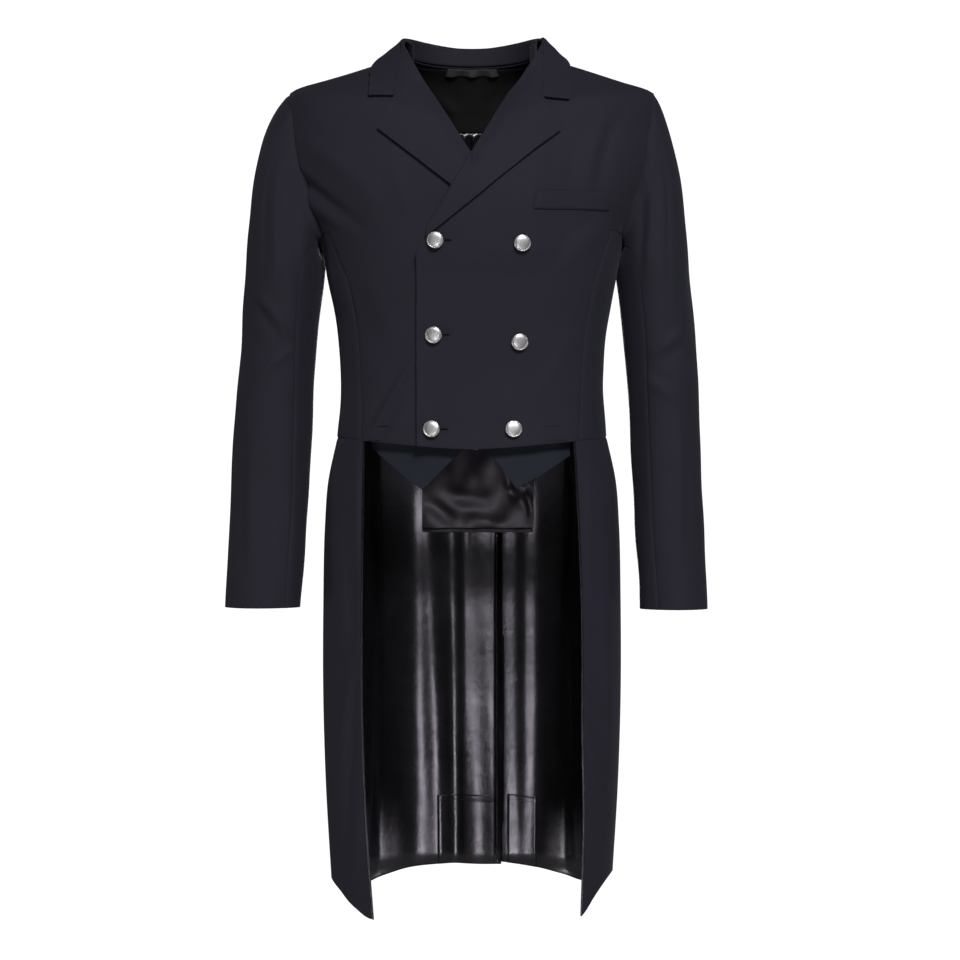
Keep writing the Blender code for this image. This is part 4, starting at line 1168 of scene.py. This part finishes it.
# Across and up, as seen from in front into the coat: the lining's long folds, towards the wearer
LINING_FOLDS = [
    (-0.0680, -0.3600, -0.0310, -1.1600, 0.0150, 0.0030, 0.000),
    (0.0120, -0.2200, 0.0150, -0.9400, 0.0220, -0.0024, 0.000),
    (0.0700, -0.4200, 0.0700, -1.0600, 0.0130, 0.0024, 0.000),
]
# The lining stands off its tail, billows between heights below the waist, and curls in at the front edges
LINING_OFF, LONG_WAVES, SHORT_WAVES = 0.0042, (0.0003, 0.10, 11), (0.00004, 0.030, 12)
BILLOW, BILLOW_STARTS, BILLOW_ENDS = 0.0060, (0.53, 0.69), (0.68, 1.04)
EDGE_CURL, CURL_X = 0.0032, (0.120, 0.138)
VENT_SWELL, SWELL_X = 0.0022, (0.040, 0.062)
# Where it comes loose from its tail: behind, above the hem, and beside the vent on either side
LOOSE_Y, LOOSE_Z, SEWN_RIGHT, SEWN_LEFT = (0.0, 0.05), (-1.035, -1.005), (0, 0.010), (0.036, 0.040)


def folds_of(across, up, rows):
    """Long soft ridges with no troughs beside them, which fade out at their ends."""
    height = np.zeros_like(across)
    for x0, z0, x1, z1, width, rise, bow in rows:
        way = np.clip((up - z0) / (z1 - z0), 0, 1)
        aside = across - x0 - (x1 - x0) * way - 4 * bow * way * (1 - way)
        height += rise * np.sin(pi * way) ** 0.5 * np.exp(-((aside / width) ** 2))
    return height


def lining_relief(side, point):
    """The lining hangs just inside its tail in soft folds of its own, and is flat at its sewn edges."""
    x, y, z = point[..., 0], point[..., 1], point[..., 2]
    edge = eased(VENT_OVERLAP_X - x, *SEWN_RIGHT) if side == RIGHT else eased(x, *SEWN_LEFT)
    loose = eased(y, *LOOSE_Y) * edge * eased(z, *LOOSE_Z)
    own = LINING_OFF + folds_of(x, z, LINING_FOLDS) + uneven(point, *LONG_WAVES) + uneven(point, *SHORT_WAVES)
    own = own + BILLOW * eased(-z, *BILLOW_STARTS) * (1 - eased(-z, *BILLOW_ENDS))
    own = own + EDGE_CURL * eased(np.abs(x), *CURL_X)
    if side == LEFT:
        own = own + VENT_SWELL * (1 - eased(x, *SWELL_X))
    return np.maximum(np.maximum(own, 0) * loose, -tail_relief(side, point))


FACING_TOP, FACING_ROUND = -0.06, 0.0010


def make_vent_facing():
    rings = np.linspace(-1, FACING_TOP, 150)
    end = np.full_like(rings, pi)
    depth = coat(end, rings)[..., 1]
    near = end + np.arctan2(VENT_OVERLAP_X - FACING_WIDTH, depth)
    far = end + np.arctan2(VENT_OVERLAP_X, depth)
    angles, ring = between(near, far, rings, count=8)
    round_it = np.sin(np.linspace(0, pi, 9))[None] * FACING_ROUND

    def folds(point):
        return lining_relief(RIGHT, point) + round_it

    return sew("vent_facing", coat, (-angles, ring), ON_LINING - TUCK, LEATHER, inside=True, folds=folds,
               waves=(0.0, 0.05))


def make_lining(side, end):
    angles, ring = tail_places(side, tail_rings(side), count=120)
    strips = [make_vent_facing()] if side == RIGHT else []
    face = LINING_LIFT - tucked(side, angles)
    sew("tail_lining" + end, coat, (side * angles, ring), face, LEATHER, inside=True,
        folds=lambda point: lining_relief(side, point), waves=(0.0, 0.05))


for side, end in SIDES:
    make_lining(side, end)

# Ring of the pockets' top, angles of each pocket's sides
POCKET_TOP, POCKET_SIDES = -0.835, {LEFT: (144.1, 159.4), RIGHT: (159.4, 180.0)}


def make_pocket(side, end):
    rings = np.linspace(-1, POCKET_TOP, 40)
    first, last = (np.full_like(rings, radians(angle)) for angle in POCKET_SIDES[side])
    if side == RIGHT:
        last = last + np.arctan2(VENT_OVERLAP_X - FACING_WIDTH, coat(last, rings)[..., 1])
    angles, ring = between(first, last, rings, count=30)
    face = ON_LINING - tucked(side, angles)
    sew("weight_pocket" + end, coat, (side * angles, ring), face, LEATHER, inside=True, sewn="ab",
        folds=lambda point: lining_relief(side, point), waves=(0.0, 0.04))


for side, end in SIDES:
    make_pocket(side, end)

PIPING_RADIUS, EDGE_STEP, LINE_POINTS = 0.0013, 0.001, 700


def tube(name, line, radius, sides=10):
    """A round cord along a line of points, closed at both ends."""
    run = np.gradient(line, axis=0)
    run /= np.linalg.norm(run, axis=1, keepdims=True)
    aside = np.cross(run, (0, 1, 0))
    aside /= np.linalg.norm(aside, axis=1, keepdims=True)
    other = np.cross(run, aside)
    turn = np.linspace(0, 2 * pi, sides + 1)[None, :, None]
    points = line[:, None] + radius * (aside[:, None] * np.cos(turn) + other[:, None] * np.sin(turn))
    first, last = line[:1, None].repeat(sides + 1, 1), line[-1:, None].repeat(sides + 1, 1)
    piece, _, _ = grid_object(name, np.concatenate((first, points, last)))
    return welded(piece)


def pocket_stitches(side, name, angle_line, ring_line):
    """A line of stitches on a pocket: a thread that dips below the cloth between them."""
    angles, rings = (np.array(line, float) for line in (angle_line, ring_line))
    steps = np.linspace(0, len(angles) - 1, LINE_POINTS)
    angles, rings = (np.interp(steps, np.arange(len(line)), line) for line in (angles, rings))
    base, normals = coat(side * angles, rings), outward(coat, side * angles, rings)
    face = ON_LINING - tucked(side, angles) - lining_relief(side, base)
    stitched(name, base + normals * face[:, None], -normals, STITCH, "leathercloth")


STEPS_A_STITCH, THREAD_RADIUS, THREAD_SIDES, RISES, SHOWS = 6, 0.00035, 6, 1.6, 0.4


def stitched(name, line, up, pitch, slot, radius=THREAD_RADIUS):
    """A thread along a line of points that rises over the cloth and dips below it once in each pitch."""
    run = along(line[:, None], 0)[:, 0]
    index = np.arange(len(line))
    places = np.interp(np.arange(0, run[-1], pitch / STEPS_A_STITCH), run, index)

    def at_places(values):
        return np.stack([np.interp(places, index, column) for column in values.T], -1)

    line, up = at_places(line), at_places(up)
    wave = np.sin(np.arange(len(line)) * 2 * pi / STEPS_A_STITCH)
    height = radius * (RISES * wave + SHOWS)
    thread = tube(name + "_thread", line + up * height[:, None], radius, THREAD_SIDES)
    dress(thread, None, (THREAD, slot))


def make_piping(side, end):
    rings = np.linspace(0, -1, 130)
    angle = side * front_edge(side, rings)
    edge = coat(angle, rings)
    forward = coat(angle - side * EDGE_STEP, rings) - edge
    forward /= np.linalg.norm(forward, axis=1, keepdims=True)
    piping = tube("tail_piping" + end + "_cord", edge + forward * PIPING_RADIUS, PIPING_RADIUS)
    dress(piping, "tail_piping" + end, LEATHER)


for side, end in SIDES:
    make_piping(side, end)

# The pockets' stitched outlines and the division of the wider one, in angles and rings inside their edges
THREAD = wool("sewing_thread", (0.0020, 0.0020, 0.0030), (0.0050, 0.0050, 0.0070), pitch=0.0006, nap=0.0)
STITCH, STITCHED_IN, HEM_RING, RUNS_ON, DIVISION = 0.0034, 0.012, -0.999, 0.24, pi - 0.06
for side, end in SIDES:
    low, high = (radians(angle) for angle in POCKET_SIDES[side])
    near, far, top = low + STITCHED_IN, high - STITCHED_IN, POCKET_TOP - STITCHED_IN
    outline = [(near, HEM_RING), (near, top), (far, top), (far, HEM_RING)]
    if side == RIGHT:
        outline = [(near, HEM_RING), (near, top), (high + RUNS_ON, top)]
        pocket_stitches(side, "pocket_division", [DIVISION, DIVISION], [HEM_RING, top])
    pocket_stitches(side, "pocket_outline" + end, *zip(*outline))


# ================================================================ satin flap, back lining and label
# Inside, the back is lined with a matt black cloth at the yoke and satin below. A satin flap with a bound
# hem hangs from the waist seam over the vent. A plain woven label is sewn in at the neck.

SATIN_THICKNESS, INSIDE_GAP, LINING_SEAM = 0.0010, 0.0012, 1.76
YOKE_TOP, YOKE_FROM, YOKE_LIFT, SATIN_FROM, SATIN_SPACING = 2.94, 0.135, 0.0008, 0.31, 0.0034
THREAD_PITCH, RIB_PITCH = 0.0006, 0.0005
# Unevenness of the satin's and the label's gloss, how matt the label is, the shares of wear and ribs in its
# colour, and the scale of the plain surfaces' pattern
UNEVEN_SATIN, UNEVEN_LABEL, LABEL_MATT, WEAR, RIBS, FINE_PATTERN = 0.14, 0.2, 0.35, 0.7, 0.3, 900.0


def satin(name, dark, light, matness):
    """Satin: fine threads that run down it, with a soft sheen and slightly uneven gloss."""
    material, shader, nodes = start(name, Specular_IOR_Level=0.72, Specular_Tint=COOL_GLOSS)
    uv, place = nodes.add("UVMap"), nodes.add("TexCoord", output=3)
    threads = nodes.add("SeparateXYZ", s0=uv).ribs(THREAD_PITCH)
    slubs = nodes.noise(place, scale=240.0, detail=2.0)
    link(shader, Base_Color=nodes.blend(slubs, dark, light))
    link(shader, Roughness=slubs * UNEVEN_SATIN + matness)
    fine = nodes.bump(threads, distance=0.00005, strength=0.4)
    rumple = nodes.noise(place, scale=120.0, detail=3.0)
    link(shader, Normal=nodes.bump(rumple, distance=0.0008, strength=0.2, under=fine))
    return material


def plain_surface(name, detail, dark, light, uneven, matness, distance, strength, **constants):
    """A surface with one fine soft pattern in its colour, its gloss and its relief."""
    material, shader, nodes = start(name, **constants)
    pattern = nodes.noise(nodes.add("TexCoord", output=3), FINE_PATTERN, detail)
    link(shader, Base_Color=nodes.blend(pattern, dark, light))
    link(shader, Roughness=pattern * uneven + matness)
    link(shader, Normal=nodes.bump(pattern, distance, strength))
    return material


def woven_label(name):
    """A plain woven label: dark grey ribs, slightly glossy."""
    material, shader, nodes = start(name, Specular_IOR_Level=0.5)
    ribs = nodes.add("SeparateXYZ", output=1, s0=nodes.add("UVMap")).ribs(RIB_PITCH)
    wear = nodes.noise(nodes.add("TexCoord", output=3), scale=260.0, detail=2.0)
    tone = wear * WEAR + ribs * RIBS
    link(shader, Base_Color=nodes.blend(tone, (0.012, 0.012, 0.014), (0.048, 0.048, 0.054)))
    link(shader, Roughness=wear * UNEVEN_LABEL + LABEL_MATT)
    link(shader, Normal=nodes.bump(ribs, distance=0.00006, strength=0.5))
    return material


FLAP_SATIN = satin("black_satin", (0.0190, 0.0130, 0.0185), (0.0360, 0.0250, 0.0340), matness=0.34)
GLOSSY_SATIN = satin("back_satin", (0.0030, 0.0028, 0.0034), (0.0070, 0.0064, 0.0076), matness=0.20)
SATIN = (FLAP_SATIN, "satin", SATIN_THICKNESS)
BACK_SATIN = (GLOSSY_SATIN, "satin", SATIN_THICKNESS)
LABEL = (woven_label("woven_label"), "satin", SATIN_THICKNESS)
LINING_BLACK = plain_surface(
    "matt_lining", detail=2.0, dark=(0.0020, 0.0020, 0.0026), light=(0.0042, 0.0042, 0.0054), uneven=0.1,
    matness=0.8, distance=0.0002, strength=0.3, Specular_IOR_Level=0.25,
)
MATT = (LINING_BLACK, "matt_lining", SATIN_THICKNESS)


def lining_places(rings, first, count):
    """Places across the back, from a share of the way in from one armhole to the same on the other side."""
    edge = back_edge(rings)
    near = edge + (pi - edge) * first
    return between(near, 2 * pi - near, rings, count)


# Across and up, as seen from in front
NECK_FOLDS = [
    (-0.0600, -0.0150, -0.0100, -0.0600, 0.0080, 0.0020, 0.004),
    (0.0620, -0.0150, 0.0150, -0.0620, 0.0080, 0.0018, -0.004),
    (-0.0350, -0.0300, -0.0150, -0.0780, 0.0060, 0.0014, 0.000),
    (0.0330, -0.0400, 0.0220, -0.0780, 0.0060, 0.0012, 0.000),
]
# The satin's gathers: size, mean height in sizes, spacing and shift. Then the height of the seam above them,
# and the lengths below it in which they fade and in which they begin
GATHER, GATHER_IN, GATHER_PITCH, GATHER_SHIFT = 0.0020, 1.4, 0.0115, 0.8
GATHER_Z, GATHER_FADE, GATHER_STARTS = -0.080, 0.045, 0.006


def yoke_folds(point):
    return creases(point[..., 0], point[..., 2], NECK_FOLDS) + YOKE_LIFT


def gathers(point):
    """Small upright folds where the satin is eased into the seam above it."""
    below = np.maximum(GATHER_Z - point[..., 2], 0)
    wave = np.sin(point[..., 0] * 2 * pi / GATHER_PITCH + GATHER_SHIFT)
    return GATHER * (GATHER_IN + wave * np.exp(-below / GATHER_FADE) * eased(below, 0, GATHER_STARTS))


yoke_places = lining_places(rings_along(pi, LINING_SEAM, YOKE_TOP, FINE), YOKE_FROM, count=90)
sew("back_lining", coat, yoke_places, -INSIDE_GAP - SATIN_THICKNESS, MATT, inside=True, sewn="c",
    folds=yoke_folds)
satin_places = lining_places(rings_along(pi, 0, LINING_SEAM, SATIN_SPACING), SATIN_FROM, count=100)
sew("back_satin", coat, satin_places, -INSIDE_GAP - SATIN_THICKNESS, BACK_SATIN, inside=True, sewn="d",
    folds=gathers, waves=(0.0005, 0.05))

LABEL_ANGLES, LABEL_RINGS, LABEL_HANG, LABEL_WAVE, LABEL_WAVES = (154, 206), (2.81, 2.98), 0.0012, 0.0016, 5
label_rings, label_angles = np.meshgrid(
    np.linspace(*LABEL_RINGS, 12), np.radians(np.linspace(*LABEL_ANGLES, 60)), indexing="ij"
)
hanging = LABEL_HANG + LABEL_WAVE * np.sin(np.linspace(0, LABEL_WAVES * pi, 60))
hang = np.linspace(1, 0, 12)[:, None] * hanging
label_face = -INSIDE_GAP - 2 * SATIN_THICKNESS - LAYER_GAP
sew("neck_label", coat, (label_angles, label_rings), label_face, LABEL, inside=True,
    folds=lambda point: hang, waves=(0.0001, 0.03))

FLAP_X, FLAP_DROP, FLAP_TOP_Z, FLAP_BEND, FLAP_ANGLES = (-0.0642, 0.0778), 0.118, -0.4740, 0.004, (110, 250)
BINDING_WIDTH, BINDING_BULGE = 0.0058, 0.0012


def flap_form(x, drop):
    """The flap's form: close inside the tails' lining at the waist, then straight down."""
    ring = np.zeros_like(x)
    low, high = (np.full_like(x, radians(angle)) for angle in FLAP_ANGLES)
    angle = solve(lambda angle: x - coat(angle, ring)[..., 0], low, high)
    depth = coat(angle, ring)[..., 1] - TUCK + LINING_LIFT
    return np.stack((x, depth - FLAP_BEND * np.sin(pi * drop / FLAP_DROP), FLAP_TOP_Z - drop), -1)


# Across and up, as seen from in front
FLAP_CRUMPLES = [
    (-0.0500, -0.5350, 0.0350, -0.5480, 0.0100, 0.0022, 0.006),
    (-0.0620, -0.5500, -0.0150, -0.5900, 0.0100, 0.0024, -0.005),
    (-0.0100, -0.5700, 0.0600, -0.5780, 0.0090, 0.0018, 0.006),
    (0.0500, -0.5000, 0.0740, -0.5600, 0.0060, 0.0030, 0.004),
    (0.0640, -0.5300, 0.0760, -0.5750, 0.0040, 0.0024, -0.003),
    (0.0420, -0.5400, 0.0740, -0.5250, 0.0050, 0.0020, 0.002),
]


def crumples(point):
    """The flap's creases."""
    return creases(point[..., 0], point[..., 2], FLAP_CRUMPLES)


def flap_places(top, count):
    """Places across the flap, from its hem up to a drop below the waist."""
    drops, across = np.meshgrid(np.linspace(FLAP_DROP, top, count), np.linspace(*FLAP_X, 90), indexing="ij")
    return across, drops


bulge = np.sin(np.linspace(0, pi, 9))[:, None] * BINDING_BULGE
binding_places = flap_places(FLAP_DROP - BINDING_WIDTH, count=9)
binding_face = -2 * SATIN_THICKNESS - LAYER_GAP
binding = sew("waist_flap_binding", flap_form, binding_places, binding_face, SATIN, inside=True,
              folds=lambda point: crumples(point) + bulge, waves=(0.0010, 0.03))
sew("waist_flap", flap_form, flap_places(0, count=76), -SATIN_THICKNESS, SATIN, inside=True, folds=crumples,
    waves=(0.0010, 0.03))


# ================================================================ buttons
# Six domed silver-coloured metal buttons on shanks, with a plain turned rim, in two columns of three.

# Radius and height: the dome, the groove inside the rim, the rim, the back and the shank
BUTTON_PROFILE = [
    (0.0, 0.0070), (0.0020, 0.00697), (0.0040, 0.0069), (0.0060, 0.0067), (0.0076, 0.0064), (0.0083, 0.0062),
    (0.0086, 0.0060), (0.0089, 0.0062), (0.0096, 0.0061), (0.0102, 0.0055), (0.0103, 0.0049),
    (0.0100, 0.0043), (0.0092, 0.0040), (0.0050, 0.0037), (0.0030, 0.0035), (0.0022, 0.0031),
    (0.0022, 0.0002), (0.0, 0.0),
]
# Across and up, as seen from in front, from the top button down
BUTTONS = {
    "button_outer": [(-0.0432, -0.2350), (-0.0456, -0.3485), (-0.0480, -0.4634)],
    "button_inner": [(0.0596, -0.2385), (0.0571, -0.3570), (0.0499, -0.4634)],
}
WORN_METAL = plain_surface(
    "silver", detail=3.0, dark=(0.46, 0.45, 0.46), light=(0.60, 0.58, 0.59), uneven=0.10, matness=0.34,
    distance=0.00003, strength=0.2, Metallic=1.0,
)
SILVER = (WORN_METAL, "silver")


def make_button(node, x, z):
    """A button on the fronts' face at a place seen from in front: its profile turned round the way out."""
    place = [np.array([value]) for value in seen_at(coat, x, z)]
    seat, normal = coat(*place)[0], outward(coat, *place)[0]
    foot = seat + normal * (left_lift(seat) + CLOTH)
    aside = np.cross(normal, (0, 0, 1))
    aside /= np.linalg.norm(aside)
    up = np.cross(aside, normal)
    turn = np.linspace(0, 2 * pi, 49)[None, :, None]
    radius, height = (np.array(column)[:, None, None] for column in zip(*BUTTON_PROFILE))
    points = foot + radius * (aside * np.cos(turn) + up * np.sin(turn)) + height * normal
    button, _, _ = grid_object(node + "_metal", points)
    dress(welded(button), node, SILVER)


for column, spots in BUTTONS.items():
    for number, (x, z) in enumerate(spots, start=1):
        make_button(f"{column}_{number}", x, z)


# ================================================================ buttonholes and tacks
# Worked buttonholes beside the outer buttons, and short tacks above the hem that hold the facing, all sewn
# with a dark navy thread.

# From the button's middle to the buttonhole's near end; its length, half width, and how squared its ends are
BUTTONHOLE_X, BUTTONHOLE_LENGTH, BUTTONHOLE_HALF, SQUARED_ENDS = 0.0106, 0.0085, 0.0006, 1.2
BUTTONHOLE_PITCH, BUTTONHOLE_THREAD, BUTTONHOLE_UP, TACK_PITCH = 0.0009, 0.0004, 0.0001, 0.0050
TACKS = {
    "tack_right_1": [(-0.1208, -0.4596), (-0.1014, -0.4596)],
    "tack_right_2": [(-0.1256, -0.4766), (-0.1111, -0.4766)],
    "tack_right_3": [(-0.1135, -0.4766), (-0.1135, -0.4814)],
    "tack_left_1": [(0.0875, -0.4596), (0.1069, -0.4596)],
    "tack_left_2": [(0.0923, -0.4766), (0.1129, -0.4766)],
}


def on_front(x, z, raised):
    """Points on the fronts' face, seen from in front at x and z, and the way out from it."""
    places = seen_at(coat, x, z)
    base, normals = coat(*places), outward(coat, *places)
    lift = np.where(base[:, 0] > FRONT_EDGE_X, left_lift(base), 0.0) + CLOTH + raised
    return base + normals * lift[:, None], normals


for number, (x, z) in enumerate(BUTTONS["button_outer"], start=1):
    turn = np.linspace(0, 2 * pi, 90)
    squared = np.clip(np.cos(turn) * SQUARED_ENDS, -1, 1)
    xs = x + BUTTONHOLE_X + BUTTONHOLE_LENGTH / 2 * (1 + squared)
    line, up = on_front(xs, z + BUTTONHOLE_HALF * np.sin(turn), BUTTONHOLE_UP)
    stitched(f"buttonhole_{number}", line, up, BUTTONHOLE_PITCH, "navy_wool", BUTTONHOLE_THREAD)
for name, ends in TACKS.items():
    across, high = (np.linspace(a, b, 40) for a, b in zip(*ends))
    line, up = on_front(across, high, 0.0)
    stitched(name, line, up, TACK_PITCH, "navy_wool")

bpy.context.view_layer.update()
